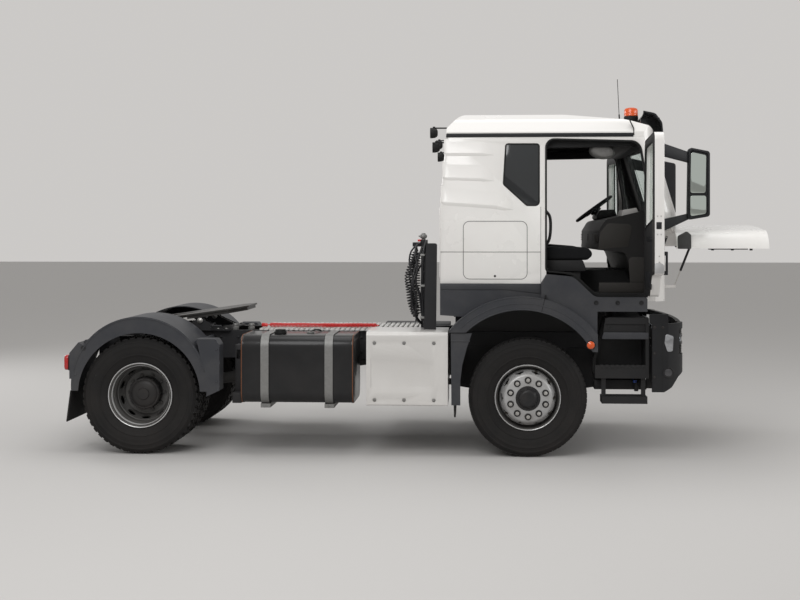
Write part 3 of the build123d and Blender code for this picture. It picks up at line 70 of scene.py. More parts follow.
floor_paint = bpy.data.materials.new("floor_paint")
tree, shader, coords = links(floor_paint)
shader.inputs["Base Color"].default_value = (0.52, 0.51, 0.5, 1.0)
shader.inputs["Roughness"].default_value = 0.85
shader.inputs["Specular IOR Level"].default_value = 0.2

bpy.ops.mesh.primitive_plane_add(size=160.0, location=(0.0, 0.0, 0.0))
floor = bpy.context.active_object
floor.name = "studio_floor"
floor.data.materials.append(floor_paint)

world = bpy.data.worlds.new("studio_world")
bpy.context.scene.world = world
world.use_nodes = True
nodes = world.node_tree.nodes
back = nodes["Background"]
back.inputs["Color"].default_value = (1.0, 0.985, 0.965, 1.0)
back.inputs["Strength"].default_value = 0.57
seen = nodes.new("ShaderNodeBackground")
seen.inputs["Color"].default_value = (0.6, 0.585, 0.57, 1.0)
seen.inputs["Strength"].default_value = 1.0
path = nodes.new("ShaderNodeLightPath")
mix = nodes.new("ShaderNodeMixShader")
out = nodes["World Output"]
world.node_tree.links.new(path.outputs["Is Camera Ray"], mix.inputs["Fac"])
world.node_tree.links.new(back.outputs["Background"], mix.inputs[1])
world.node_tree.links.new(seen.outputs["Background"], mix.inputs[2])
world.node_tree.links.new(mix.outputs["Shader"], out.inputs["Surface"])

LAMPS = (
    # name, place, aimed at, size, power
    ("key_lamp", (-2.0, -9.0, 7.5), (0.0, 0.0, 1.5), 6.0, 400.0),
    ("top_lamp", (0.5, 0.0, 9.0), (0.0, 0.0, 0.0), 8.0, 240.0),
    ("front_lamp", (9.0, -3.0, 4.5), (0.5, 0.0, 1.5), 4.0, 170.0),
    ("rear_lamp", (-9.0, 5.0, 5.0), (-1.0, 0.0, 1.0), 4.0, 200.0),
)
for name, place, aim, size, power in LAMPS:
    lamp_data = bpy.data.lights.new(name, "AREA")
    lamp_data.shape = "DISK"
    lamp_data.size = size
    lamp_data.energy = power
    lamp = bpy.data.objects.new(name, lamp_data)
    lamp.location = place
    lamp.rotation_euler = (Vector(aim) - Vector(place)).to_track_quat("-Z", "Y").to_euler()
    bpy.context.scene.collection.objects.link(lamp)


# Coiled air and electric lines. Three black plastic lines hang behind the cab from their holder to
# the sockets at the catwalk, each wound into a springy helix. The route is that of the solids.
FRONT_AXLE = 1.059
COIL_X = -1.065
COIL_LINES = (
    # name, across, lean, turns, line diameter, length
    ("coiled_line_air_red", -0.425, -0.062, 25, 0.0115, 5.5),
    ("coiled_line_electric", -0.3, -0.03, 22, 0.0125, 4.85),
    ("coiled_line_air_black", -0.17, 0.0, 26, 0.0115, 5.7),
)
COIL_R = 0.036
POINTS_A_TURN = 14


def at(x, y, z):
    """Point that is given from the front axle, in the row frame."""
    return Vector((x + FRONT_AXLE, y, z))


def clear():
    """Leaves nothing selected."""
    if bpy.context.object and bpy.context.object.mode != "OBJECT":
        bpy.ops.object.mode_set(mode="OBJECT")
    bpy.ops.object.select_all(action="DESELECT")


def take(piece):
    """Selects one piece and makes it active."""
    clear()
    piece.select_set(True)
    bpy.context.view_layer.objects.active = piece
    return piece


def line_curve(name, points, radius=0.0, sides=4):
    """Smooth NURBS line through its control points, with a round section where it has a radius."""
    curve = bpy.data.curves.new(name, "CURVE")
    curve.dimensions = "3D"
    spline = curve.splines.new("NURBS")
    spline.points.add(len(points) - 1)
    for point, place in zip(spline.points, points):
        point.co = (*place, 1.0)
    spline.order_u = 3
    spline.use_endpoint_u = True
    spline.resolution_u = 12 if radius == 0.0 else 3
    curve.bevel_depth = radius
    curve.bevel_resolution = sides
    curve.use_fill_caps = radius > 0.0
    piece = bpy.data.objects.new(name, curve)
    bpy.context.scene.collection.objects.link(piece)
    return piece


def rod(name, route, radius, sides):
    """Round rod or pipe along a smooth route, as a mesh."""
    piece = take(line_curve(name, route, radius, sides))
    bpy.ops.object.convert(target="MESH")
    return piece


def route_points(name, route):
    """Points along the smooth line of a route, as Blender gives them, and the guide is removed."""
    guide = line_curve(name + "_route", route)
    bpy.context.view_layer.update()
    mesh = bpy.data.meshes.new_from_object(guide)
    points = [vertex.co.copy() for vertex in mesh.vertices]
    bpy.data.meshes.remove(mesh)
    bpy.data.objects.remove(guide)
    return points


def helix_points(line, turns, radius, straight):
    """Helix of so many turns round a line, drawn in to it over the straight part at each end."""
    reach = [0.0]
    for before, here in zip(line, line[1:]):
        reach.append(reach[-1] + (here - before).length)
    total = reach[-1]

    def on_line(distance):
        for index in range(1, len(line)):
            if reach[index] >= distance or index == len(line) - 1:
                share = (distance - reach[index - 1]) / max(reach[index] - reach[index - 1], 1e-9)
                place = line[index - 1].lerp(line[index], share)
                return place, (line[index] - line[index - 1]).normalized()

    points = [line[0].copy(), on_line(straight * 0.5)[0]]
    count = int(turns * POINTS_A_TURN)
    for step in range(count + 1):
        distance = straight + (total - 2 * straight) * step / count
        place, along = on_line(distance)
        out = along.cross(Vector((0.0, 1.0, 0.0))).normalized()
        angle = 2 * math.pi * turns * step / count
        ease = min(1.0, step / POINTS_A_TURN, (count - step) / POINTS_A_TURN)
        swell = radius * (0.25 + 0.75 * ease) * (1.0 + 0.06 * math.sin(distance * 23.0))
        points.append(place + (out * math.cos(angle) + out.cross(along) * math.sin(angle)) * swell)
    points += [on_line(total - straight * 0.5)[0], line[-1].copy()]
    return points


def mix_nodes(tree, low, high, mask, data="RGBA"):
    """Mixes two values or sockets by a mask, and gives the output."""
    node = tree.nodes.new("ShaderNodeMix")
    node.data_type = data
    first, second, result = {"RGBA": (6, 7, 2), "FLOAT": (2, 3, 0)}[data]
    tree.links.new(mask, node.inputs[0])
    for place, value in ((first, low), (second, high)):
        if isinstance(value, bpy.types.NodeSocket):
            tree.links.new(value, node.inputs[place])
        else:
            node.inputs[place].default_value = value
    return node.outputs[result]


def new_node(tree, kind, values=(), operation=None, clamp=False):
    """New node, with the operation and the (input, value) rows that it is given."""
    node = tree.nodes.new("ShaderNode" + kind)
    if operation:
        node.operation = operation
    if clamp:
        node.use_clamp = True
    for label, value in values:
        node.inputs[label].default_value = value
    return node


def wire(tree, *runs):
    """Links nodes by rows of (from, its output, to, its input)."""
    for source, output, target, entry in runs:
        tree.links.new(source.outputs[output], target.inputs[entry])


def new_group(name, inputs, outputs):
    """Shader node group with named inputs (name, kind, value) and outputs (name, kind)."""
    group = bpy.data.node_groups.new(name, "ShaderNodeTree")
    for label, kind, value in inputs:
        socket = group.interface.new_socket(name=label, in_out="INPUT", socket_type=kind)
        if value is not None:
            socket.default_value = value
    for label, kind in outputs:
        group.interface.new_socket(name=label, in_out="OUTPUT", socket_type=kind)
    entry = group.nodes.new("NodeGroupInput")
    leave = group.nodes.new("NodeGroupOutput")
    return group, entry, leave


# Grain: fine bump of moulded plastic, rubber or paint. Dirt: a cloudy mask of road dust that is
# thicker low down. Rub: a mask of edges where the finish is worn.
grain_group, entry, leave = new_group(
    "grain", [("Coordinates", "NodeSocketVector", None), ("Scale", "NodeSocketFloat", 900.0),
              ("Strength", "NodeSocketFloat", 0.15), ("Depth", "NodeSocketFloat", 0.0004)],
    [("Normal", "NodeSocketVector"), ("Mask", "NodeSocketFloat")])
noise = new_node(grain_group, "TexNoise", [("Detail", 3.0)])
bump = new_node(grain_group, "Bump")
wire(grain_group, (entry, "Coordinates", noise, "Vector"), (entry, "Scale", noise, "Scale"),
     (noise, "Fac", bump, "Height"), (entry, "Strength", bump, "Strength"), (entry, "Depth", bump, "Distance"),
     (bump, "Normal", leave, "Normal"), (noise, "Fac", leave, "Mask"))

dirt_group, entry, leave = new_group("dirt", [
    ("Coordinates", "NodeSocketVector", None), ("Scale", "NodeSocketFloat", 3.0), ("Top", "NodeSocketFloat", 1.5),
    ("Amount", "NodeSocketFloat", 0.5)], [("Mask", "NodeSocketFloat")])
clouds = new_node(dirt_group, "TexNoise", [("Detail", 8.0), ("Roughness", 0.62)])
split = new_node(dirt_group, "SeparateXYZ")
fall = new_node(dirt_group, "Math", operation="DIVIDE")
low_down = new_node(dirt_group, "Math", [(0, 1.0)], "SUBTRACT", clamp=True)
spread = new_node(dirt_group, "MapRange", [("From Min", 0.38), ("From Max", 0.72)])
share = new_node(dirt_group, "Math", operation="MULTIPLY")
strength = new_node(dirt_group, "Math", operation="MULTIPLY", clamp=True)
wire(dirt_group, (entry, "Coordinates", clouds, "Vector"), (entry, "Scale", clouds, "Scale"),
     (entry, "Coordinates", split, 0), (split, "Z", fall, 0), (entry, "Top", fall, 1), (fall, 0, low_down, 1),
     (clouds, "Fac", spread, "Value"), (spread, "Result", share, 0), (low_down, 0, share, 1),
     (share, 0, strength, 0), (entry, "Amount", strength, 1), (strength, 0, leave, "Mask"))

rub_group, entry, leave = new_group("rub", [
    ("Coordinates", "NodeSocketVector", None), ("Scale", "NodeSocketFloat", 40.0), ("Low", "NodeSocketFloat", 0.52),
    ("High", "NodeSocketFloat", 0.6)], [("Mask", "NodeSocketFloat")])
shape = new_node(rub_group, "NewGeometry")
flecks = new_node(rub_group, "TexNoise", [("Detail", 5.0)])
ragged = new_node(rub_group, "Math", [(1, 0.1)], "MULTIPLY_ADD")
level = new_node(rub_group, "Math", [(1, 0.05)], "SUBTRACT")
edge = new_node(rub_group, "MapRange")
wire(rub_group, (entry, "Coordinates", flecks, "Vector"), (entry, "Scale", flecks, "Scale"),
     (flecks, "Fac", ragged, 0), (shape, "Pointiness", ragged, 2), (ragged, 0, level, 0), (level, 0, edge, "Value"),
     (entry, "Low", edge, "From Min"), (entry, "High", edge, "From Max"), (edge, "Result", leave, "Mask"))


def use_group(tree, group, coords, **values):
    """Places an effect in a material, reading Object coordinates."""
    node = tree.nodes.new("ShaderNodeGroup")
    node.node_tree = group
    tree.links.new(coords.outputs["Object"], node.inputs["Coordinates"])
    for label, value in values.items():
        node.inputs[label].default_value = value
    return node


DUSTY_ROUGHNESS = 0.9
DEEP_BLACK = 0.06


def finish_material(name, colour, roughness, metal=0.0, grain=(900.0, 0.15, 0.0004), dust=None, worn=None,
                    shade=0.12, coat=0.0, spots=8.0):
    """Solid finish whose colour varies a little, with dust (colour, amount, top) and worn edges (colour, low,
    high). Deep blacks reflect less."""
    material = bpy.data.materials.new(name)
    tree, shader, coords = links(material)
    shader.inputs["Metallic"].default_value = metal
    shader.inputs["Coat Weight"].default_value = coat
    shader.inputs["Coat Roughness"].default_value = 0.08
    if max(colour) < DEEP_BLACK and metal == 0.0:
        shader.inputs["Specular IOR Level"].default_value = 0.22
    clouds = new_node(tree, "TexNoise", [("Scale", spots), ("Detail", 6.0)])
    tree.links.new(coords.outputs["Object"], clouds.inputs["Vector"])
    dark = [part * (1.0 - shade) for part in colour]
    light = [min(1.0, part * (1.0 + shade)) for part in colour]
    tone = mix_nodes(tree, (*dark, 1.0), (*light, 1.0), clouds.outputs["Fac"])
    gloss = mix_nodes(tree, max(0.02, roughness - 0.06), min(1.0, roughness + 0.06), clouds.outputs["Fac"], "FLOAT")
    if worn:
        rub = use_group(tree, rub_group, coords, Low=worn[1], High=worn[2])
        tone = mix_nodes(tree, tone, (*worn[0], 1.0), rub.outputs["Mask"])
    if dust:
        film = use_group(tree, dirt_group, coords, Amount=dust[1], Top=dust[2])
        tone = mix_nodes(tree, tone, (*dust[0], 1.0), film.outputs["Mask"])
        gloss = mix_nodes(tree, gloss, DUSTY_ROUGHNESS, film.outputs["Mask"], "FLOAT")
    tree.links.new(tone, shader.inputs["Base Color"])
    tree.links.new(gloss, shader.inputs["Roughness"])
    if grain:
        skin = use_group(tree, grain_group, coords, Scale=grain[0], Strength=grain[1], Depth=grain[2])
        tree.links.new(skin.outputs["Normal"], shader.inputs["Normal"])
    return material


line_plastic = finish_material("line_plastic", (0.018, 0.018, 0.02), 0.38, grain=(500.0, 0.1, 0.0003))
coils = []
for name, across, lean, turns, size, length in COIL_LINES:
    route = [
        at(COIL_X, across, 1.925), at(COIL_X, across, 1.815), at(COIL_X + lean - 0.012, across - 0.012, 1.67),
        at(COIL_X + 0.9 * lean - 0.006, across + 0.01, 1.53), at(COIL_X + 0.5 * lean - 0.018, across - 0.006, 1.39),
        at(COIL_X, across, 1.275), at(COIL_X, across, 1.19)]
    middle = route_points(name, route)
    coil = line_curve(name, helix_points(middle, turns, COIL_R, 0.045), size / 2)
    coil.data.materials.append(line_plastic)
    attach(coil, "chassis")
    coils.append(coil)
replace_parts(coils[0], "coiled_lines")


# Red air line. It lies on the catwalk, wound tight for its whole length, with its coupling head
# towards the fifth wheel and its other end in the socket near the cab.
RED_ROUTE = ((-2.546, -0.3, 1.1433), (-2.26, -0.3, 1.1433), (-1.98, -0.33, 1.1433), (-1.71, -0.292, 1.1433),
             (-1.435, -0.292, 1.1433))
RED_TURNS = 78
RED_LINE_R = 0.0055
RED_COIL_R = 0.0165

red_plastic = finish_material("red_plastic", (0.62, 0.03, 0.03), 0.3, grain=(300.0, 0.08, 0.0003), shade=0.1)
red_route = [at(*point) for point in RED_ROUTE]
red_middle = route_points("red_line", red_route)
red_hose = line_curve("red_air_line", helix_points(red_middle, RED_TURNS, RED_COIL_R, 0.02), RED_LINE_R, 3)
red_hose.data.materials.append(red_plastic)
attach(red_hose, "chassis")
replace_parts(red_hose, "red_line")


def fit(piece, body, material, edge=0.0, steps=2, angle=30.0, slot=None):
    """Finishes a piece: edges rounded, smooth shading, place in its mesh, material and body. The slot is not used."""
    take(piece)
    bpy.ops.object.transform_apply(location=True, rotation=True, scale=True)
    if edge > 0.0:
        rounding = piece.modifiers.new("edges", "BEVEL")
        rounding.width = edge
        rounding.segments = steps
        rounding.limit_method = "ANGLE"
        rounding.angle_limit = math.radians(angle)
        rounding.harden_normals = False
        bpy.ops.object.modifier_apply(modifier="edges")
    bpy.ops.object.shade_smooth_by_angle(angle=math.radians(angle))
    piece.data.materials.clear()
    piece.data.materials.append(material)
    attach(piece, body)
    return piece


def copied(piece, name, body, change):
    """Copy of a finished piece, placed anew by a matrix, with its own mesh."""
    copy = piece.copy()
    copy.data = piece.data.copy()
    copy.name = name
    if "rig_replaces" in copy:
        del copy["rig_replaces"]
    bpy.context.scene.collection.objects.link(copy)
    copy.data.transform(change)
    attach(copy, body)
    return copy


def twin(piece, name, body):
    """Left-hand copy of a finished right-hand piece."""
    copy = copied(piece, name, body, Matrix.Diagonal((1.0, -1.0, 1.0, 1.0)))
    copy.data.flip_normals()
    return copy


def fit_pair(piece, body, material, **finish):
    """Finishes a right-hand piece, and gives it and its left-hand twin."""
    fit(piece, body, material, **finish)
    return piece, twin(piece, piece.name.replace("right", "left"), body.replace("right", "left"))


def joined(name, pieces):
    """Several meshes made one piece."""
    clear()
    for piece in pieces:
        piece.select_set(True)
    bpy.context.view_layer.objects.active = pieces[0]
    if len(pieces) > 1:
        bpy.ops.object.join()
    whole = bpy.context.active_object
    whole.name = name
    whole.data.name = name
    return whole


MERGE_GAP = 0.00005


def close_and_face_out(piece):
    """Merges doubles and turns the faces outwards."""
    take(piece)
    bpy.ops.object.mode_set(mode="EDIT")
    bpy.ops.mesh.select_all(action="SELECT")
    bpy.ops.mesh.remove_doubles(threshold=MERGE_GAP)
    bpy.ops.mesh.normals_make_consistent(inside=False)
    bpy.ops.object.mode_set(mode="OBJECT")
    return piece


def turned(name, rows, centre, steps=72):
    """Ring or round piece turned about a line across the vehicle: rows of (radius, across), where across grows
    outwards on the right. Rows that start and end at radius 0 give a closed round piece."""
    open_ended = rows[0][0] == 0.0 and rows[-1][0] == 0.0
    clear()
    bpy.ops.mesh.primitive_circle_add(vertices=len(rows), radius=1.0)
    piece = bpy.context.active_object
    piece.name = name
    for vertex, (radius, across) in zip(piece.data.vertices, rows):
        vertex.co = centre + Vector((radius, -across, 0.0))
    bpy.ops.object.mode_set(mode="EDIT")
    if open_ended:
        bpy.ops.mesh.select_mode(type="EDGE")
        bpy.ops.mesh.select_all(action="DESELECT")
        bpy.ops.object.mode_set(mode="OBJECT")
        for edge in piece.data.edges:
            edge.select = set(edge.vertices) == {0, len(rows) - 1}
        bpy.ops.object.mode_set(mode="EDIT")
        bpy.ops.mesh.delete(type="EDGE")
    bpy.ops.mesh.select_mode(type="VERT")
    bpy.ops.mesh.select_all(action="SELECT")
    bpy.ops.mesh.spin(steps=steps, angle=2 * math.pi, center=centre, axis=(0.0, 1.0, 0.0))
    bpy.ops.object.mode_set(mode="OBJECT")
    return close_and_face_out(piece)


def ring_of(piece, count, centre):
    """Repeats a piece round a line across the vehicle, as one mesh."""
    take(piece)
    bpy.ops.object.transform_apply(location=True, rotation=True, scale=True)
    bpy.ops.object.mode_set(mode="EDIT")
    bpy.ops.mesh.select_all(action="SELECT")
    bpy.ops.mesh.spin(
        steps=count - 1, dupli=True, angle=2 * math.pi * (count - 1) / count, center=centre, axis=(0.0, 1.0, 0.0))
    bpy.ops.object.mode_set(mode="OBJECT")
    return piece


def block(name, low, high):
    """Block between two corners."""
    low, high = Vector(low), Vector(high)
    clear()
    bpy.ops.mesh.primitive_cube_add(size=1.0, location=(low + high) / 2)
    piece = bpy.context.active_object
    piece.name = name
    piece.scale = high - low
    bpy.ops.object.transform_apply(location=True, rotation=True, scale=True)
    return piece


def bar(name, start, end, radius, sides=24):
    """Round bar between two points."""
    start, end = Vector(start), Vector(end)
    clear()
    bpy.ops.mesh.primitive_cylinder_add(
        vertices=sides, radius=radius, depth=(end - start).length, location=(start + end) / 2,
        rotation=(end - start).to_track_quat("Z", "Y").to_euler())
    piece = bpy.context.active_object
    piece.name = name
    bpy.ops.object.transform_apply(location=True, rotation=True, scale=True)
    return piece


def cut(piece, tool):
    """Takes the tool's shape out of the piece, and the tool away."""
    knife = piece.modifiers.new("cut", "BOOLEAN")
    knife.operation = "DIFFERENCE"
    knife.solver = "EXACT"
    knife.object = tool
    take(piece)
    bpy.ops.object.modifier_apply(modifier="cut")
    bpy.data.objects.remove(tool)
    return piece


def rounded(corners, steps=5):
    """Outline points from rows of (first, second, corner radius)."""
    points = []
    count = len(corners)
    for index, (first, second, radius) in enumerate(corners):
        here = Vector((first, second))
        if radius <= 0.0:
            points.append(here)
            continue
        before = (Vector(corners[index - 1][:2]) - here).normalized()
        after = (Vector(corners[(index + 1) % count][:2]) - here).normalized()
        half = before.angle(after) / 2
        reach = radius / math.tan(half)
        middle = here + (before + after).normalized() * radius / math.sin(half)
        start = here + before * reach - middle
        end = here + after * reach - middle
        for step in range(steps + 1):
            points.append(middle + start.normalized().slerp(end.normalized(), step / steps) * radius)
    return points


def oblong(first, second, far_first, far_second, radius):
    """Outline with four corners rounded alike."""
    return [(first, second, radius), (far_first, second, radius), (far_first, far_second, radius),
            (first, far_second, radius)]


def plate(name, corners, low, high, look="Y", steps=5):
    """Plate cut to an outline of (first, second, corner radius), from low to high along the way it is looked at:
    Y gives rows of X and Z, X gives rows of Y and Z, and Z gives rows of X and Y. X is from the front axle."""
    def placed(first, second, depth):
        if look == "Y":
            return at(first, depth, second)
        if look == "X":
            return at(depth, first, second)
        return at(first, second, depth)

    points = rounded(corners, steps)
    clear()
    bpy.ops.mesh.primitive_circle_add(vertices=len(points), radius=1.0, fill_type="NGON")
    piece = bpy.context.active_object
    piece.name = name
    for vertex, (first, second) in zip(piece.data.vertices, points):
        vertex.co = placed(first, second, low)
    bpy.ops.object.mode_set(mode="EDIT")
    bpy.ops.mesh.select_all(action="SELECT")
    move = placed(0.0, 0.0, high) - placed(0.0, 0.0, low)
    bpy.ops.mesh.extrude_region_move(TRANSFORM_OT_translate={"value": move})
    bpy.ops.mesh.select_all(action="SELECT")
    bpy.ops.mesh.normals_make_consistent(inside=False)
    bpy.ops.object.mode_set(mode="OBJECT")
    return piece


def both_sides(name, corners, near, far):
    """The same upright plate on both sides of the vehicle, between two distances from its middle."""
    return [plate(name, corners, *sorted((side * near, side * far))) for side in (-1, 1)]


# The coupling head on the red line is a moulded claw on a round body.
head_x, head_y, head_z = red_route[0]
head = bar("red_coupling_head", (head_x - 0.058, head_y, head_z), (head_x, head_y, head_z), 0.017, 20)
claw = block("claw", (head_x - 0.055, head_y - 0.02, head_z - 0.006), (head_x - 0.02, head_y + 0.02, head_z + 0.02))
fit(joined("red_coupling_head", [head, claw]), "chassis", red_plastic, edge=0.003)


# Tyres. Radial truck tyres 1.09 m high: a moulded sidewall with raised rings, a rounded shoulder, and
# a tread of rubber blocks between grooves. Front ones have ribs, rear ones open traction blocks.
TYRE_R = 0.545
WHEEL_Z = TYRE_R
FRONT_WHEEL_Y = 1.04
TWIN_Y = (1.075, 0.725)
REAR_X = -3.6
GROOVE = 0.015

rubber = finish_material(
    "tyre_rubber", (0.012, 0.0115, 0.0115), 0.7, grain=(260.0, 0.25, 0.0012), dust=((0.05, 0.042, 0.037), 0.35, 1.3),
    shade=0.3, spots=5.0)
tyre_rows = [
    (0.2865, -0.1175), (0.308, -0.1185), (0.318, -0.125), (0.334, -0.134), (0.35, -0.139), (0.372, -0.148),
    (0.374, -0.151), (0.38, -0.152), (0.384, -0.1495), (0.41, -0.156), (0.43, -0.1585), (0.452, -0.1575),
    (0.455, -0.1592), (0.462, -0.159), (0.465, -0.1562), (0.49, -0.1545), (0.494, -0.1575), (0.503, -0.1565),
    (0.508, -0.151), (0.521, -0.1425), (TYRE_R - GROOVE, -0.13)]
tyre_rows += [(TYRE_R - GROOVE, 0.0)] + [(radius, -across) for radius, across in reversed(tyre_rows)]
inner = [(0.2865, 0.094), (0.34, 0.118), (0.43, 0.132), (0.505, 0.12), (0.51, 0.0), (0.505, -0.12), (0.43, -0.132),
         (0.34, -0.118), (0.2865, -0.094)]


def tread_block(across, along, wide, long, skew):
    """One block of the tread, standing on the casing at the top of a tyre whose axle is at the origin."""
    low = TYRE_R - GROOVE - 0.004
    high = TYRE_R - 0.0005
    clear()
    bpy.ops.mesh.primitive_cube_add(size=1.0, location=(along, across, (low + high) / 2))
    piece = bpy.context.active_object
    piece.scale = (long, wide, high - low)
    bpy.ops.object.transform_apply(location=True, rotation=True, scale=True)
    for vertex in piece.data.vertices:
        vertex.co.x += skew * (vertex.co.y - across)
        if vertex.co.z > (low + high) / 2:
            vertex.co.x = along + (vertex.co.x - along) * 0.93
            vertex.co.y = across + (vertex.co.y - across) * 0.96
            vertex.co.z -= 0.25 * max(0.0, abs(vertex.co.y) - 0.11)
    return piece


def tread(name, pattern, pitches):
    """Tread all round a tyre: a pattern of blocks over one pitch, repeated."""
    blocks = [tread_block(*row) for row in pattern]
    whole = joined(name, blocks)
    return ring_of(whole, pitches, (0.0, 0.0, 0.0))


def tyre(name, pattern, pitches):
    """A tyre about the origin, its axle along Y."""
    casing = turned(name + "_casing", tyre_rows + inner, Vector((0.0, 0.0, 0.0)), steps=96)
    return joined(name, [casing, tread(name + "_tread", pattern, pitches)])


PITCH = 2 * math.pi * TYRE_R
FRONT_PITCHES = 66
REAR_PITCHES = 48
rib = PITCH / FRONT_PITCHES
lug = PITCH / REAR_PITCHES
steer_tread = [
    # across, along, wide, long, skew
    (-0.1125, 0.0, 0.041, rib * 0.86, 0.1), (-0.0555, 0.2 * rib, 0.05, rib * 0.9, 0.25),
    (0.0, 0.0, 0.044, rib * 0.92, -0.2), (0.0555, -0.2 * rib, 0.05, rib * 0.9, 0.25),
    (0.1125, 0.0, 0.041, rib * 0.86, 0.1)]
drive_tread = [
    (-0.11, 0.0, 0.046, lug * 0.68, 0.12), (-0.052, 0.4 * lug, 0.058, lug * 0.7, 0.3),
    (0.005, 0.1 * lug, 0.042, lug * 0.72, -0.35), (0.055, 0.55 * lug, 0.05, lug * 0.7, 0.3),
    (0.11, 0.2 * lug, 0.046, lug * 0.68, 0.12)]
steer_tyre = tyre("tyre_front_right_rubber", steer_tread, FRONT_PITCHES)
drive_tyre = tyre("tyres_rear_right_rubber", drive_tread, REAR_PITCHES)
drive_twin = copied(
    drive_tyre, "inner_drive_tyre", "wheels_rear_right", Matrix.Translation((0.0, TWIN_Y[0] - TWIN_Y[1], 0.0)))
drive_twin.parent = None
drive_twin.matrix_world = Matrix.Identity(4)
drive_tyre = joined("tyres_rear_right_rubber", [drive_tyre, drive_twin])
for piece, x, y, node in (
        (steer_tyre, 0.0, -FRONT_WHEEL_Y, "tyre_front_"), (drive_tyre, REAR_X, -TWIN_Y[0], "tyres_rear_")):
    piece.data.transform(Matrix.Translation(at(x, y, WHEEL_Z)))
    wheel = "wheel_front_right" if x == 0.0 else "wheels_rear_right"
    _, other = fit_pair(piece, wheel, rubber, angle=35, slot="tyre")
    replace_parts(piece, node + "right")
    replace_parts(other, node + "left")


# Front rims: painted steel discs dished outwards, with ten hand holes, ten nuts on a 335 mm circle and
# a black domed hub through the middle. The rim's rolled edge is coloured bright as a painted highlight,
# and the nuts are bright, on dark washers.
NUT_CIRCLE_R = 0.1675
NUTS = 10
HALF_PITCH = 180.0 / NUTS
FRONT_FACE = 0.187

rim_silver = finish_material("rim_silver", (0.43, 0.43, 0.43), 0.42, metal=0.55, grain=(700.0, 0.12, 0.0004),
                             dust=((0.16, 0.13, 0.105), 0.85, 1.25), worn=((0.1, 0.09, 0.08), 0.6, 0.72), shade=0.1)
nut_steel = finish_material(
    "nut_steel", (0.5, 0.49, 0.47), 0.36, metal=0.9, grain=None, shade=0.2, dust=((0.14, 0.11, 0.09), 0.5, 1.2))
hub_black = finish_material(
    "hub_black", (0.02, 0.02, 0.021), 0.35, grain=(400.0, 0.2, 0.0006), dust=((0.12, 0.1, 0.085), 0.45, 1.1))


def rim_ring(centre):
    """Rolled rim with its flanges and drop centre."""
    return turned("rim_ring", [
        (0.286, -0.118), (0.3, -0.118), (0.3015, -0.125), (0.299, -0.13), (0.293, -0.1285), (0.284, -0.123),
        (0.278, -0.11), (0.274, -0.06), (0.262, -0.045), (0.253, -0.03), (0.252, 0.03), (0.262, 0.045), (0.274, 0.06),
        (0.278, 0.11), (0.284, 0.123), (0.293, 0.1285), (0.299, 0.13), (0.3015, 0.125), (0.3, 0.118), (0.286, 0.118),
        (0.283, 0.055), (0.264, 0.034), (0.263, -0.03), (0.283, -0.055)], centre, 96)


def wheel_disc(centre, face, root):
    """Dished disc with ten hand holes: its flat ring is at face, and it meets the rim at root."""
    way = 1.0 if face > root else -1.0
    disc = turned("disc", [
        (0.112, face - 0.013 * way), (0.112, face - 0.002 * way), (0.114, face), (0.204, face),
        (0.213, face - 0.003 * way), (0.222, face - 0.012 * way), (0.236, face - 0.03 * way),
        (0.25, (face + root) / 2 + 0.012 * way), (0.2625, root + 0.012 * way), (0.2625, root - 0.006 * way),
        (0.25, root - 0.002 * way), (0.238, (face + root) / 2 - 0.004 * way), (0.222, face - 0.04 * way),
        (0.206, face - 0.014 * way)], centre, 80)
    hole_rise = math.radians(62.0) * way
    reach = 0.0425
    middle = Vector((0.24, -(face - 0.055 * way), 0.0))
    lean = Vector((math.sin(hole_rise), -math.cos(hole_rise), 0.0)).normalized()
    tool = bar("hand_hole", centre + middle - lean * reach, centre + middle + lean * reach, 0.03, 20)
    longer = Matrix.Scale(1.45, 4, Vector((0.0, 0.0, 1.0)))
    tool.data.transform(Matrix.Translation(centre) @ Matrix.Rotation(math.radians(HALF_PITCH), 4, "Y") @ longer
                        @ Matrix.Translation(-centre))
    return cut(disc, ring_of(tool, NUTS, centre))


def turned_by(piece, centre, degrees):
    """Turns a wheel piece about its axle."""
    piece.data.transform(
        Matrix.Translation(centre) @ Matrix.Rotation(math.radians(degrees), 4, "Y") @ Matrix.Translation(-centre))


def on_nut_circle(name, centre, low, high, radius, sides):
    """Bar on the nut circle, between two distances outwards from the centre."""
    place = centre + Vector((NUT_CIRCLE_R, 0.0, 0.0))
    return bar(name, place - Vector((0, low, 0)), place - Vector((0, high, 0)), radius, sides)


def nut_ring(centre, face, high):
    """Ten wheel nuts with their stud ends, standing out from a face."""
    whole = joined("nuts", [on_nut_circle("nut", centre, face + 0.004, face + high, 0.019, 6),
                            on_nut_circle("stud", centre, face + high - 0.01, face + high + 0.008, 0.0095, 14)])
    rounding = whole.modifiers.new("edges", "BEVEL")
    rounding.width = 0.0016
    rounding.segments = 1
    take(whole)
    bpy.ops.object.modifier_apply(modifier="edges")
    return ring_of(whole, NUTS, centre)


def washer_ring(centre, face):
    """Dark turned washers under the nuts."""
    return ring_of(on_nut_circle("washers", centre, face, face + 0.006, 0.0315, 20), NUTS, centre)


def rim_edge(centre):
    """Rolled edge of the rim, coloured bright as a painted highlight."""
    return turned(
        "rim_edge", [(0.2925, 0.1275), (0.299, 0.1315), (0.3035, 0.1245), (0.299, 0.119), (0.293, 0.122)], centre, 96)
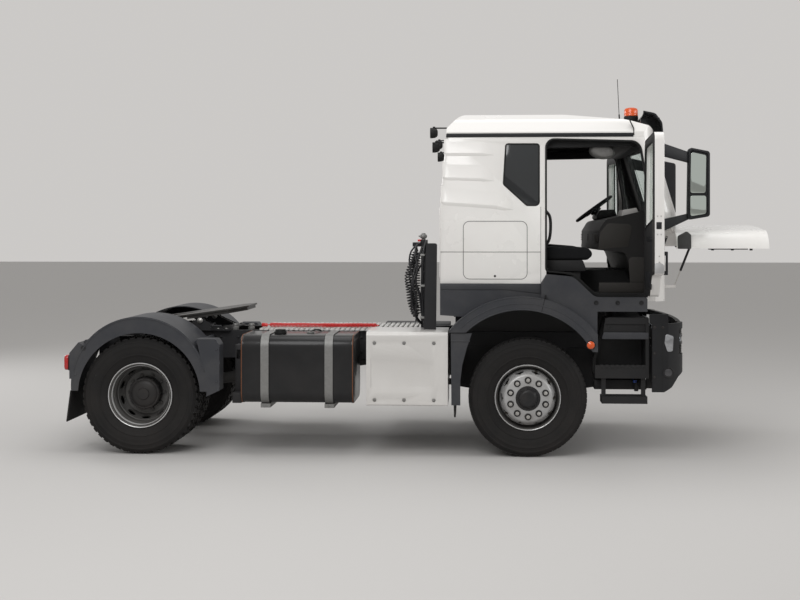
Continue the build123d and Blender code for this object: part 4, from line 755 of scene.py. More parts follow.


# Rim barrels, and the rear nuts deep inside the twin rims, are coloured near black: painted shade of the deep rim and
# tyre, with dust on top.
rim_dust_and_shade = finish_material(
    "rim_dust_and_shade", (0.1, 0.098, 0.095), 0.5, metal=0.5, grain=(700.0, 0.12, 0.0004), shade=0.3,
    dust=((0.07, 0.058, 0.048), 0.5, 1.1))
rim_bright = finish_material("rim_bright", (0.72, 0.72, 0.72), 0.34, metal=0.45, grain=None, shade=0.1)
front_centre = at(0.0, -FRONT_WHEEL_Y, WHEEL_Z)
front_rim = joined("rim_front_right_steel", [wheel_disc(front_centre, FRONT_FACE, 0.04)])
front_ring = joined("rim_ring_front_right", [rim_ring(front_centre)])
front_edge = joined("rim_edge_front_right", [rim_edge(front_centre)])
front_washers = joined("wheel_washers_front_right", [washer_ring(front_centre, FRONT_FACE)])
front_nuts = joined("wheel_nuts_front_right", [nut_ring(front_centre, FRONT_FACE, 0.027)])
front_hub = turned("hub_front_right", [
    (0.0, -0.025), (0.2, -0.025), (0.203, -0.02), (0.203, 0.0), (0.152, 0.09), (0.152, 0.158), (0.21, 0.16),
    (0.21, 0.172), (0.111, 0.174), (0.111, 0.19), (0.108, 0.195), (0.09, 0.197), (0.086, 0.203), (0.08, 0.218),
    (0.074, 0.224), (0.066, 0.227), (0.062, 0.23), (0.0, 0.231)], front_centre, 64)
hub_bolts = bar(
    "hub_bolt", front_centre + Vector((0.098, -0.193, 0)), front_centre + Vector((0.098, -0.2, 0)), 0.0065, 6)
front_hub = joined("hub_front_right", [front_hub, ring_of(hub_bolts, 8, front_centre)])
for piece in (front_rim, front_washers, front_nuts):
    turned_by(piece, front_centre, HALF_PITCH)
for piece, material, angle, slot in (
        (front_rim, rim_silver, 35, "rim_silver"), (front_ring, rim_dust_and_shade, 35, "rim_silver"),
        (front_edge, rim_bright, 60, None), (front_washers, hub_black, 40, None), (front_nuts, nut_steel, 30, None),
        (front_hub, hub_black, 30, "rim_silver")):
    fit_pair(piece, "wheel_front_right", material, angle=angle, slot=slot)
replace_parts(front_rim, "rim_front_right")
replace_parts(bpy.data.objects["rim_front_left_steel"], "rim_front_left")

# Rear rims: two back to back, so the outer one is deep, with the grey disc, the nuts and the big
# planetary hub far inside it. The brake drum closes the inner side.
REAR_FACE = 0.012
TWIN_HALF = (TWIN_Y[0] - TWIN_Y[1]) / 2
rear_centre = at(REAR_X, -(TWIN_Y[0] + TWIN_Y[1]) / 2, WHEEL_Z)
parts = []
discs = []
for shift, face, root in ((TWIN_HALF, -0.163, -0.04), (-TWIN_HALF, 0.163, 0.04)):
    middle = rear_centre + Vector((0.0, -shift, 0.0))
    parts.append(rim_ring(middle))
    discs.append(wheel_disc(middle, face, root))
rear_rim = joined("rims_rear_right_steel", parts)
rim_grey = finish_material(
    "rim_grey", (0.13, 0.128, 0.125), 0.5, metal=0.4, grain=(700.0, 0.12, 0.0004), shade=0.3,
    dust=((0.08, 0.068, 0.057), 0.5, 1.1))
rear_disc = joined("rims_rear_right_disc", discs)
outer_centre = rear_centre + Vector((0.0, -TWIN_HALF, 0.0))
# The bead step inside the outer rim is a second band of bright colour: a painted highlight.
bead_step_highlight = turned(
    "bead_step_highlight", [(0.2775, 0.088), (0.2795, 0.1), (0.2745, 0.1), (0.2715, 0.088), (0.2735, 0.062), (0.2765, 0.062)],
    outer_centre, 96)
rear_edge = joined("rim_edge_rear_right", [rim_edge(outer_centre), bead_step_highlight])
rear_flange = turned("wheel_flange_rear_right", [
    (0.118, REAR_FACE), (0.118, REAR_FACE + 0.003), (0.203, REAR_FACE + 0.003), (0.206, REAR_FACE)], rear_centre, 80)
flange_grey = finish_material(
    "flange_grey", (0.68, 0.67, 0.65), 0.45, metal=0.1, grain=None, shade=0.15, dust=((0.3, 0.27, 0.24), 0.4, 1.1))
rear_washers = joined("wheel_washers_rear_right", [washer_ring(rear_centre, REAR_FACE)])
rear_nuts = joined("wheel_nuts_rear_right", [nut_ring(rear_centre, REAR_FACE, 0.03)])
rear_hub = turned("hub_rear_right", [
    (0.0, -0.2), (0.2, -0.205), (0.204, -0.2), (0.204, -0.065), (0.215, -0.04), (0.215, 0.0), (0.15, 0.012),
    (0.15, 0.09), (0.147, 0.1), (0.147, 0.142), (0.14, 0.15), (0.128, 0.152), (0.12, 0.16), (0.096, 0.17),
    (0.07, 0.174), (0.056, 0.177), (0.052, 0.187), (0.0, 0.19)], rear_centre, 64)
cover_bolts = bar(
    "cover_bolt", rear_centre + Vector((0.136, -0.15, 0)), rear_centre + Vector((0.136, -0.159, 0)), 0.008, 6)
web = block("web", rear_centre + Vector((0.144, -0.14, -0.006)), rear_centre + Vector((0.1535, -0.02, 0.006)))
rear_hub = joined("hub_rear_right", [rear_hub, ring_of(cover_bolts, 12, rear_centre), ring_of(web, 12, rear_centre)])
# The rear barrels and nuts take the near-black rim colour: painted shade deep in the twin rims, with dust.
for piece, material, angle, slot in (
        (rear_rim, rim_dust_and_shade, 35, "rim_silver"), (rear_disc, rim_grey, 35, "rim_silver"),
        (rear_edge, rim_bright, 60, None), (rear_flange, flange_grey, 35, None), (rear_washers, hub_black, 40, None),
        (rear_nuts, rim_dust_and_shade, 30, None), (rear_hub, hub_black, 30, "rim_silver")):
    fit_pair(piece, "wheels_rear_right", material, angle=angle, slot=slot)
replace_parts(rear_rim, "rims_rear_right")
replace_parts(bpy.data.objects["rims_rear_left_steel"], "rims_rear_left")


# Ladder frame and running gear: riveted channel rails, forged axles, leaf springs and air bellows,
# painted black before assembly and filmed with road dust. These shapes are the solids' own.
def repaint(material, *nodes):
    """Gives kept CAD nodes their finish."""
    for node in nodes:
        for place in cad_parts[node].material_slots:
            place.material = material


frame_black = finish_material(
    "frame_black", (0.022, 0.022, 0.024), 0.48, grain=(220.0, 0.25, 0.0008), dust=((0.1, 0.09, 0.078), 0.3, 1.5),
    worn=((0.05, 0.036, 0.027), 0.7, 0.8))
cast_grey = finish_material("cast_grey", (0.05, 0.05, 0.05), 0.55, metal=0.3, grain=(160.0, 0.4, 0.0012),
                            dust=((0.1, 0.085, 0.07), 0.35, 1.4), worn=((0.07, 0.045, 0.03), 0.7, 0.8))
bellows_rubber = finish_material(
    "bellows_rubber", (0.02, 0.02, 0.02), 0.65, grain=(300.0, 0.2, 0.0006), dust=((0.08, 0.07, 0.06), 0.3, 1.2))
repaint(frame_black, "chassis_frame", "front_axle", "rear_axle", "air_tanks", "line_holder", "radiator")
repaint(cast_grey, "engine_block", "silencer", "propeller_shaft", "knuckle_right", "knuckle_left", "tie_rod")
repaint(bellows_rubber, "air_springs")


def rivets(name, places, radius, high, way, body, material):
    """Domed heads of bolts or rivets at places on a flat side, standing out along way."""
    heads = []
    for place in places:
        clear()
        bpy.ops.mesh.primitive_cylinder_add(
            vertices=8, radius=radius, depth=high, location=Vector(place) + Vector(way) * high / 2,
            rotation=Vector(way).to_track_quat("Z", "Y").to_euler())
        heads.append(bpy.context.active_object)
    return fit(joined(name, heads), body, material, edge=radius * 0.3, steps=1, angle=50)


RAIL_SIDE_Y = 0.382
rail_bolts = []
for side in (-1, 1):
    for step in range(17):
        for z in (0.89, 1.03):
            rail_bolts.append(at(-4.05 + 0.175 * step, side * RAIL_SIDE_Y, z))
rivets("rail_bolts_right", [place for place in rail_bolts if place.y < 0], 0.013, 0.012, (0, -1, 0), "chassis",
       frame_black)
rivets("rail_bolts_left", [place for place in rail_bolts if place.y > 0], 0.013, 0.012, (0, 1, 0), "chassis",
       frame_black)

brake_pot = turned("brake_chamber", [
    (0.0, -0.09), (0.03, -0.09), (0.034, -0.05), (0.078, -0.045), (0.083, -0.035), (0.083, 0.0), (0.09, 0.004),
    (0.09, 0.018), (0.083, 0.022), (0.08, 0.075), (0.07, 0.09), (0.0, 0.094)], at(REAR_X + 0.3, -0.62, 0.47), 40)
brake_arm = block("brake_arm", at(REAR_X + 0.02, -0.7, 0.45), at(REAR_X + 0.32, -0.67, 0.5))
brake_pot = joined("brake_chamber_right", [brake_pot, brake_arm])
fit_pair(brake_pot, "chassis", frame_black, edge=0.003)


# Fuel tank: a rolled steel tank with pressed ends, satin black, with thin brown edges where the
# paint has gone. Two galvanised straps with rubber under them hold it on its brackets.
TANK_X = (-2.655, -1.6)
TANK_Y = (-1.22, -0.52)
TANK_Z = (0.478, 1.111)
TANK_R = 0.11
STRAP_X = (-2.428, -1.832)
tank_paint = finish_material("tank_paint", (0.012, 0.012, 0.013), 0.3, grain=(90.0, 0.12, 0.001), coat=0.2,
                             dust=((0.09, 0.08, 0.07), 0.16, 1.6), worn=((0.09, 0.045, 0.025), 0.72, 0.8), shade=0.25)
galvanised = finish_material(
    "galvanised", (0.22, 0.22, 0.215), 0.5, metal=0.5, grain=(120.0, 0.3, 0.0006), spots=60.0,
    dust=((0.2, 0.17, 0.14), 0.35, 1.3), shade=0.22)
seal_rubber = finish_material("seal_rubber", (0.012, 0.012, 0.012), 0.6, grain=(400.0, 0.2, 0.0004))


def tank_outline(grow):
    return [(TANK_Y[0] - grow, TANK_Z[0] - grow, TANK_R + grow), (TANK_Y[1] + grow, TANK_Z[0] - grow, TANK_R + grow),
            (TANK_Y[1] + grow, TANK_Z[1] + grow, TANK_R + grow), (TANK_Y[0] - grow, TANK_Z[1] + grow, TANK_R + grow)]


tank = plate("fuel_tank_shell", tank_outline(-0.003), TANK_X[0] + 0.012, TANK_X[1] - 0.012, look="X", steps=10)
bands = [plate("end_band", tank_outline(0.0), x0, x1, look="X", steps=10)
         for x0, x1 in ((TANK_X[0] + 0.002, TANK_X[0] + 0.03), (TANK_X[1] - 0.03, TANK_X[1] - 0.002))]
ends = [plate("end_press", tank_outline(-0.05), x0, x1, look="X", steps=10)
        for x0, x1 in ((TANK_X[0] - 0.001, TANK_X[0] + 0.02), (TANK_X[1] - 0.02, TANK_X[1] + 0.001))]
tank = fit(
    joined("fuel_tank_shell", [tank] + bands + ends), "chassis", tank_paint, edge=0.007, steps=3, slot="tank_black")
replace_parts(tank, "fuel_tank")
filler_place = at(-2.31, -1.01, TANK_Z[1])
cap_low = bar(
    "tank_filler_cap", filler_place - Vector((0, 0, 0.004)), filler_place + Vector((0, 0, 0.024)), 0.057, 32)
cap_top = bar("cap_top", filler_place + Vector((0, 0, 0.02)), filler_place + Vector((0, 0, 0.041)), 0.05, 12)
cap_grip = block(
    "cap_grip", filler_place + Vector((-0.032, -0.008, 0.03)), filler_place + Vector((0.032, 0.008, 0.0415)))
fit(joined("tank_filler_cap", [cap_low, cap_top, cap_grip]), "chassis", seal_rubber, edge=0.003)
sender = bar("tank_sender", at(-2.04, -0.9, TANK_Z[1] - 0.003), at(-2.04, -0.9, TANK_Z[1] + 0.012), 0.035, 24)
fit(sender, "chassis", galvanised, edge=0.002)
# Fuel hose from the sender to the rail, a curve with a round section.
fuel_hose = line_curve("fuel_hose", [
    at(-2.04, -0.9, 1.118), at(-2.03, -0.88, 1.135), at(-1.98, -0.7, 1.135), at(-1.96, -0.5, 1.08),
    at(-1.95, -0.386, 1.02)], 0.006)
fuel_hose.data.materials.append(seal_rubber)
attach(fuel_hose, "chassis")

repaint(galvanised, "tank_straps")
for index, x in enumerate(STRAP_X):
    rubber_strip = plate("strap_rubber", tank_outline(0.003), x - 0.042, x + 0.042, look="X", steps=10)
    hollow = plate("hollow", tank_outline(-0.0032), x - 0.06, x + 0.06, look="X", steps=10)
    fit(cut(rubber_strip, hollow), "chassis", seal_rubber).name = "strap_rubber_" + str(index + 1)
    eye = bar("strap_bolt_" + str(index + 1), at(x, -1.15, 0.442), at(x, -1.15, 0.4725), 0.012, 12)
    lock = bar("lock", at(x, -1.15, 0.436), at(x, -1.15, 0.45), 0.019, 6)
    fit(joined(eye.name, [eye, lock]), "chassis", galvanised, edge=0.002)


# Exhaust box cover: one deep-drawn steel sheet painted white, folded over at the top, with one long
# pressed field and six recessed bolts. The battery box on the left has a lid and pressed ribs.
COVER_X = (-1.483, -0.733)
COVER_Y = (-1.225, -0.6)
COVER_Z = (0.47, 1.148)
cab_paint = finish_material("cab_paint", (0.79, 0.775, 0.755), 0.26, grain=(28.0, 0.05, 0.0006), coat=0.5, shade=0.02,
                            dust=((0.5, 0.46, 0.4), 0.16, 3.0), spots=2.0)


cover = plate("exhaust_cover_sheet", [
    (COVER_Y[0], COVER_Z[0], 0.012), (COVER_Y[1], COVER_Z[0], 0), (COVER_Y[1], COVER_Z[1], 0),
    (COVER_Y[0], COVER_Z[1], 0.04)], COVER_X[0], COVER_X[1], look="X", steps=10)
hollow = block("hollow", at(COVER_X[0] + 0.019, COVER_Y[0] + 0.019, COVER_Z[0] + 0.019),
               at(COVER_X[1] - 0.019, COVER_Y[1] + 0.01, COVER_Z[1] - 0.019))
cut(cover, hollow)
face_y = COVER_Y[0]
field = plate("field_tool", [(-1.448, 0.595, 0.03), (-0.858, 0.595, 0.05), (-0.858, 0.878, 0.05), (-0.92, 0.886, 0),
                             (-1.448, 0.932, 0.03)], face_y - 0.001, face_y + 0.013, steps=8)
FIELD_MIDDLE = at(-1.3, 0.0, 0.765)
for vertex in field.data.vertices:
    if vertex.co.y > face_y:
        vertex.co.x = FIELD_MIDDLE.x + (vertex.co.x - FIELD_MIDDLE.x) * 0.92
        vertex.co.z = FIELD_MIDDLE.z + (vertex.co.z - FIELD_MIDDLE.z) * 0.76
cut(cover, field)
COVER_BOLTS = [(x, z) for x in (-1.408, -1.135, -0.861) for z in (0.52, 1.044)]
for x, z in COVER_BOLTS:
    cut(cover, bar("dimple", at(x, face_y - 0.01, z), at(x, face_y + 0.006, z), 0.021, 24))
# The cover's white is darker and dustier than the cab's: the darkening is partly dust and partly painted shade of the
# recess that the cover stands in.
cover_paint_dust_and_shade = finish_material(
    "cover_paint_dust_and_shade", (0.62, 0.605, 0.585), 0.35, grain=(28.0, 0.05, 0.0006), coat=0.3, shade=0.05,
    dust=((0.3, 0.27, 0.23), 0.3, 1.0), spots=2.0)
fit(cover, "chassis", cover_paint_dust_and_shade, edge=0.006, steps=3, angle=30, slot="cab_white")
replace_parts(cover, "exhaust_cover")
bolts = []
for x, z in COVER_BOLTS:
    bolts.append(bar("bolt", at(x, face_y + 0.007, z), at(x, face_y - 0.002, z), 0.0095, 6))
    bolts.append(bar("washer", at(x, face_y + 0.007, z), at(x, face_y + 0.002, z), 0.0155, 20))
fit(joined("cover_bolts", bolts), "chassis", galvanised, edge=0.0012)

battery_lid = plate(
    "battery_lid", [(0.605, 1.045, 0.02), (1.2195, 1.045, 0.02), (1.2195, 1.09, 0.025), (0.605, 1.09, 0.02)], -1.455,
    -0.755, look="X")
battery_press = [
    block("battery_rib", at(-1.4 + 0.14 * step, 1.21, 0.58), at(-1.34 + 0.14 * step, 1.22, 1.0)) for step in range(5)]
plastic = finish_material(
    "grained_plastic", (0.018, 0.0185, 0.0205), 0.5, grain=(520.0, 0.22, 0.0007), shade=0.1,
    dust=((0.09, 0.085, 0.08), 0.16, 2.2), worn=((0.06, 0.06, 0.063), 0.7, 0.8))
fit(joined("battery_box_lid", [battery_lid] + battery_press), "chassis", plastic, edge=0.006)
repaint(plastic, "battery_box")


# Cab shell: pressed and welded steel painted warm white. The side wall has three pressed steps at its
# rear, a locker hatch in a thin seam, more seams, a dark quarter window and a black gutter strip.
CAB_Y = 1.12
WALL = 0.06
DOOR_OPENING = [(0.166, 1.7, 0.04), (0.166, 2.927, 0.08), (1.028, 2.903, 0.1), (1.112, 2.406, 0), (1.118, 1.62, 0),
                (1.1, 1.492, 0.06), (0.618, 1.49, 0.12), (0.42, 1.68, 0.15)]
QUARTER_WINDOW = [
    (-0.205, 2.885, 0.03), (0.112, 2.884, 0.03), (0.112, 2.306, 0.04), (-0.01, 2.306, 0.04), (-0.228, 2.505, 0.04)]
SIDE_OUTLINE = [
    (-0.808, 1.43, 0), (1.165, 1.43, 0), (1.165, 2.25, 0), (1.065, 2.941, 0), (-0.752, 2.941, 0), (-0.808, 2.363, 0)]


def grown(corners, amount):
    """Outline made larger all round by an amount, for seams and seals."""
    middle_x = sum(row[0] for row in corners) / len(corners)
    middle_z = sum(row[1] for row in corners) / len(corners)
    count = len(corners)
    rows = []
    for index, (x, z, radius) in enumerate(corners):
        here = Vector((x, z))
        before = (here - Vector(corners[index - 1][:2])).normalized()
        after = (Vector(corners[(index + 1) % count][:2]) - here).normalized()
        outward = [Vector((run.y, -run.x)) for run in (before, after)]
        if outward[0].dot(here - Vector((middle_x, middle_z))) < 0:
            outward = [-way for way in outward]
        share = amount / max(0.3, 1.0 + outward[0].dot(outward[1]))
        place = here + (outward[0] + outward[1]) * share
        rows.append((place.x, place.y, max(0.0, radius + amount) if radius > 0 else 0.0))
    return rows


def frame_strip(name, corners, wide, low, high, steps=6):
    """Strip of even width along the inside of an outline, such as a seal, seam or trim."""
    outer = plate(name, corners, low, high, steps=steps)
    return cut(outer, plate("inner", grown(corners, -wide), low - 0.02, high + 0.02, steps=steps))


cab_inside = finish_material("cab_inside", (0.021, 0.021, 0.022), 0.6, grain=(600.0, 0.3, 0.0006), shade=0.15,
                             dust=((0.1, 0.095, 0.09), 0.3, 3.0))


LINING_DARK = (0.024, 0.024, 0.025, 1.0)
LINING_ROUGHNESS = 0.62


def shell_material(name, centre, outer):
    """Outer paint on the faces that look away from the cab's middle, and dark lining on those that look in."""
    shell = outer.copy()
    shell.name = name
    tree = shell.node_tree
    shader = next(node for node in tree.nodes if node.type == "BSDF_PRINCIPLED")
    coords = next(node for node in tree.nodes if node.type == "TEX_COORD")
    away = new_node(tree, "VectorMath", [(1, centre)], "SUBTRACT")
    facing = new_node(tree, "VectorMath", operation="DOT_PRODUCT")
    inward = new_node(tree, "Math", [(1, 0.0)], "LESS_THAN")
    wire(tree, (coords, "Object", away, 0), (away, "Vector", facing, 0), (coords, "Normal", facing, 1),
         (facing, "Value", inward, 0))
    for socket, inside, kind in (("Base Color", LINING_DARK, "RGBA"), ("Roughness", LINING_ROUGHNESS, "FLOAT")):
        source = shader.inputs[socket].links[0].from_socket
        tree.links.new(mix_nodes(tree, source, inside, inward.outputs[0], kind), shader.inputs[socket])
    return shell


cab_shell = shell_material("cab_shell_paint", at(0.2, 0.0, 2.45), cab_paint)
side = plate("cab_side_right_panel", SIDE_OUTLINE, -CAB_Y, -CAB_Y + WALL)
cut(side, plate("door_tool", DOOR_OPENING, -CAB_Y - 0.1, -CAB_Y + 0.2, steps=8))
cut(side, plate("window_tool", QUARTER_WINDOW, -CAB_Y - 0.1, -CAB_Y + 0.2, steps=6))
take(side)
rear_edge = side.modifiers.new("corner", "BEVEL")
rear_edge.limit_method = "WEIGHT"
rear_edge.width = 0.035
rear_edge.segments = 6
weights = side.data.attributes.new("bevel_weight_edge", "FLOAT", "EDGE")
for edge, weight in zip(side.data.edges, weights.data):
    ends = [side.data.vertices[index].co for index in edge.vertices]
    rear = all(end.y < -CAB_Y + 0.001 and end.x < FRONT_AXLE - 0.75 for end in ends)
    weight.value = 1.0 if rear and abs(ends[0].z - ends[1].z) > 0.4 else 0.0
bpy.ops.object.modifier_apply(modifier="corner")
fit(side, "cab", cab_shell, edge=0.003, steps=2, angle=35, slot="cab_white")
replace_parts(side, "cab_side_right")


def ridge(points, tall, proud, foot):
    """Pressed step in a side wall: it swells slowly from its top line, then turns in over a short foot, and
    runs out at both ends."""
    clear()
    bpy.ops.mesh.primitive_grid_add(x_subdivisions=24, y_subdivisions=3, size=1.0)
    step = bpy.context.active_object
    lengths = [0.0]
    for first, second in zip(points, points[1:]):
        lengths.append(lengths[-1] + math.hypot(second[0] - first[0], second[1] - first[1]))
    for vertex in step.data.vertices:
        along = (vertex.co.x + 0.5) * lengths[-1]
        row = round((vertex.co.y + 0.5) * 3)
        index = max(0, min(len(points) - 2, sum(1 for length in lengths[1:-1] if along > length)))
        share = (along - lengths[index]) / (lengths[index + 1] - lengths[index])
        x = points[index][0] + (points[index + 1][0] - points[index][0]) * share
        z = points[index][1] + (points[index + 1][1] - points[index][1]) * share
        whole = min(1.0, along / 0.03, (lengths[-1] - along) / 0.1)
        height = (-foot * whole, 0.0, 0.004, tall)[row]
        out = (-0.0025, proud * whole, proud * whole * 0.92, -0.0025)[row]
        vertex.co = at(x, -CAB_Y - out, z + height)
    return step


pressed = joined("cab_side_steps_right", [
    ridge([(-0.77, 2.795), (-0.42, 2.795), (-0.31, 2.775)], 0.13, 0.012, 0.03),
    ridge([(-0.785, 2.572), (-0.42, 2.56), (-0.31, 2.536)], 0.15, 0.012, 0.03),
    ridge([(-0.8, 2.345), (-0.3, 2.31), (-0.13, 2.27)], 0.15, 0.014, 0.034)])
take(pressed)
bpy.ops.object.mode_set(mode="EDIT")
bpy.ops.mesh.select_all(action="SELECT")
bpy.ops.mesh.normals_make_consistent(inside=False)
bpy.ops.object.mode_set(mode="OBJECT")
if sum(face.normal.y * face.area for face in pressed.data.polygons) > 0:
    pressed.data.flip_normals()
fit(pressed, "cab", cab_paint, angle=70)

HATCH = oblong(-0.595, 1.629, -0.001, 2.169, 0.06)
# The hatch seam, the crease and the pillar groove are thin grey strips laid on the panel: their grey is painted shade
# of the grooves.
seams = [frame_strip("seam", HATCH, 0.006, -CAB_Y - 0.0012, -CAB_Y + 0.02, 8),
         block("seam", at(-0.802, -CAB_Y - 0.0008, 1.879), at(0.119, -CAB_Y + 0.02, 1.885)),
         block("seam", at(0.119, -CAB_Y - 0.001, 1.595), at(0.1235, -CAB_Y + 0.02, 2.3))]
seams = fit(
    joined("cab_side_seams_right", seams), "cab", finish_material("seam_painted_shade", (0.16, 0.155, 0.15), 0.7, grain=None))
gutter = plate("gutter_strip_right", [
    (-0.752, 2.943, 0), (0.967, 2.943, 0), (0.967, 2.978, 0), (-0.748, 2.978, 0)], -CAB_Y - 0.0075, -CAB_Y + 0.006)
fit(gutter, "cab", plastic, edge=0.003, steps=2)
door_seal = frame_strip("door_seal_right", grown(DOOR_OPENING, 0.006), 0.018, -CAB_Y - 0.004, -CAB_Y + 0.045, 8)
fit(door_seal, "cab", seal_rubber, edge=0.004)
window_seal = frame_strip("quarter_seal_right", QUARTER_WINDOW, 0.012, -CAB_Y - 0.0015, -CAB_Y + 0.03, 6)
fit(window_seal, "cab", seal_rubber, edge=0.002)
hatch_lock = bar("hatch_lock_right", at(-0.3, -CAB_Y - 0.002, 1.66), at(-0.3, -CAB_Y + 0.01, 1.66), 0.011, 20)
fit(hatch_lock, "cab", seal_rubber, edge=0.001)
for piece in (side, pressed, seams, gutter, door_seal, window_seal, hatch_lock):
    other = twin(piece, piece.name.replace("right", "left"), "cab")
    if piece is side:
        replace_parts(other, "cab_side_left")

# Rear wall with its pressed panels, roof, floor and front stay the solids' own forms, painted, with
# seams and pressings laid on: the roof's front corner panel starts at a seam beside the beacon.
repaint(cab_shell, "cab_rear_wall", "cab_roof", "cab_front")
repaint(cab_inside, "cab_floor")
panels = [plate("rear_press", oblong(y0, 1.62, y1, 2.3, 0.05), -0.818, -0.806, look="X", steps=6)
          for y0, y1 in ((-0.98, -0.4), (-0.3, 0.3), (0.4, 0.98))]
fit(joined("rear_wall_pressings", panels), "cab", cab_paint, edge=0.009, steps=3, angle=40)
# The roof seam is a thin black strip laid on the paint: painted shade of the gap between the panels.
roof_seam = plate("roof_seam_right", [(0.968, 2.955, 0), (0.976, 2.955, 0), (0.974, 3.02, 0), (0.94, 3.093, 0),
                                      (0.932, 3.093, 0), (0.966, 3.02, 0)], -CAB_Y - 0.0012, -CAB_Y + 0.03)
fit_pair(roof_seam, "cab", seal_rubber)


# Cab glass: a laminated windscreen and door windows with a faint green tint, and two dark quarter panes.
def glass_material(name, colour):
    """Clear or tinted glass."""
    glass = bpy.data.materials.new(name)
    tree, shader, coords = links(glass)
    shader.inputs["Transmission Weight"].default_value = 1.0
    shader.inputs["IOR"].default_value = 1.1
    shader.inputs["Roughness"].default_value = 0.0
    film = use_group(tree, dirt_group, coords, Scale=2.5, Top=60.0, Amount=0.06)
    tint = mix_nodes(tree, (*colour, 1.0), (*[part * 0.9 for part in colour], 1.0), film.outputs["Mask"])
    tree.links.new(tint, shader.inputs["Base Color"])
    return glass


screen_glass = glass_material("screen_glass", (0.84, 0.93, 0.89))
dark_glass = finish_material("dark_glass", (0.016, 0.018, 0.02), 0.06, grain=None, coat=1.0, shade=0.3, spots=1.5)
repaint(screen_glass, "cab_glass", "door_glass_right", "door_glass_left")
pane = plate("quarter_pane_right", grown(QUARTER_WINDOW, -0.006), -CAB_Y + 0.003, -CAB_Y + 0.012, steps=6)
fit_pair(pane, "cab", dark_glass, edge=0.001)


# Wheel arch trim: moulded dark grey plastic in a rear skirt with the arch flare and a front part, with
# a seam between them. The flare has a bead and steps, and a marker lamp stands on its front part.
ARCH_X = -0.055
ARCH_Z = 0.62
ARCH_R = 0.732
wing_plastic = finish_material("wing_plastic", (0.04, 0.042, 0.048), 0.48, grain=(480.0, 0.25, 0.0007), shade=0.08,
                               dust=((0.16, 0.15, 0.14), 0.3, 3.0))
repaint(wing_plastic, "wheel_arch_trims", "front_mudguards", "rear_fenders")
arch_centre = at(ARCH_X, 0.0, ARCH_Z)


def arch_band(name, inner, outer, y0, y1, from_degrees, to_degrees, steps=40, centre=arch_centre):
    """Part of a flat ring about a wheel arch, from one angle to another, up from the front."""
    rows = [(inner, y0), (outer, y0), (outer, y1), (inner, y1)]
    clear()
    bpy.ops.mesh.primitive_circle_add(vertices=4, radius=1.0, fill_type="NGON")
    piece = bpy.context.active_object
    piece.name = name
    first = math.radians(from_degrees)
    for vertex, (radius, across) in zip(piece.data.vertices, rows):
        vertex.co = centre + Vector((radius * math.cos(first), across, radius * math.sin(first)))
    bpy.ops.object.mode_set(mode="EDIT")
    bpy.ops.mesh.select_all(action="SELECT")
    bpy.ops.mesh.spin(steps=steps, angle=math.radians(to_degrees - from_degrees), center=centre, axis=(0.0, 1.0, 0.0))
    bpy.ops.object.mode_set(mode="OBJECT")
    return close_and_face_out(piece)


bands = [arch_band("flare_bead", ARCH_R + 0.001, ARCH_R + 0.012, -1.256, -1.235, 29.5, 134.0),
         arch_band("flare_step", 0.79, 0.8, -1.2535, -1.24, 36.0, 134.0),
         arch_band("flare_rim", 0.846, 0.8575, -1.2535, -1.24, 78.0, 141.0)]
fit_pair(joined("arch_beads_right", bands), "cab", wing_plastic, edge=0.003, steps=2)
skirt = plate("skirt_band_right", [
    (-0.806, 1.536, 0), (-0.2, 1.536, 0), (0.118, 1.5, 0), (0.118, 1.5925, 0), (-0.806, 1.5925, 0)], -1.158, -1.149)
fit_pair(skirt, "cab", wing_plastic, edge=0.004, steps=2)
# The seam between the two mouldings is a thin black strip: painted shade of the gap.
seam = arch_band("wing_seam_right", 0.735, 0.9, -1.2512, -1.2, 75.9, 76.3, 1)
fit_pair(seam, "cab", seal_rubber)
marker_place = at(0.568, -1.25, 1.038)
marker_base = bar("marker_base", marker_place + Vector((0, 0.06, 0)), marker_place - Vector((0, 0.004, 0)), 0.043, 28)
marker_base.name = "marker_base_right"
fit_pair(marker_base, "cab", seal_rubber, edge=0.002)


def lens_material(name, colour):
    """Moulded lamp lens with fine ribs in its bump."""
    lens = bpy.data.materials.new(name)
    tree, shader, coords = links(lens)
    shader.inputs["Roughness"].default_value = 0.16
    shader.inputs["Coat Weight"].default_value = 0.6
    shader.inputs["IOR"].default_value = 1.49
    wave = new_node(tree, "TexWave", [("Scale", 60.0)])
    bump = new_node(tree, "Bump", [("Strength", 0.25), ("Distance", 0.001)])
    wire(tree, (coords, "Object", wave, "Vector"), (wave, "Fac", bump, "Height"), (bump, "Normal", shader, "Normal"))
    tone = mix_nodes(tree, (*[part * 0.75 for part in colour], 1.0), (*colour, 1.0), wave.outputs["Fac"])
    tree.links.new(tone, shader.inputs["Base Color"])
    return lens


orange_lens = lens_material("orange_lens", (0.75, 0.095, 0.004))
red_lens = lens_material("red_lens", (0.5, 0.012, 0.012))
lens = turned("marker_lens_right", [
    (0.0, 0.0), (0.034, 0.0), (0.0345, 0.004), (0.028, 0.0085), (0.014, 0.01), (0.012, 0.0115), (0.0, 0.012)],
              marker_place, 32)
fit_pair(lens, "cab", orange_lens, angle=40)


# Doors: a pressed steel shell in cab paint, drawn closed and turned open about its hinge, with a dark
# grained lining, window seals, lock, handle, and a grey foot moulding at the rear edge.
DOOR_HINGE = at(1.135, -1.112, 0.0)
DOOR_OPEN = math.radians(88.0)
DOOR_OUT = -1.128
DOOR_IN = -1.043
DOOR_WINDOW = [(0.245, 2.17, 0.04), (0.245, 2.85, 0.06), (0.965, 2.83, 0.06), (1.04, 2.4, 0), (1.042, 2.07, 0.06),
               (0.9, 2.11, 0.06)]
DOOR_EDGE = grown(DOOR_OPENING, -0.007)


def swung(piece):
    """Turns a piece of the closed right door to where the door stands open."""
    piece.data.transform(
        Matrix.Translation(DOOR_HINGE) @ Matrix.Rotation(DOOR_OPEN, 4, "Z") @ Matrix.Translation(-DOOR_HINGE))
    return piece


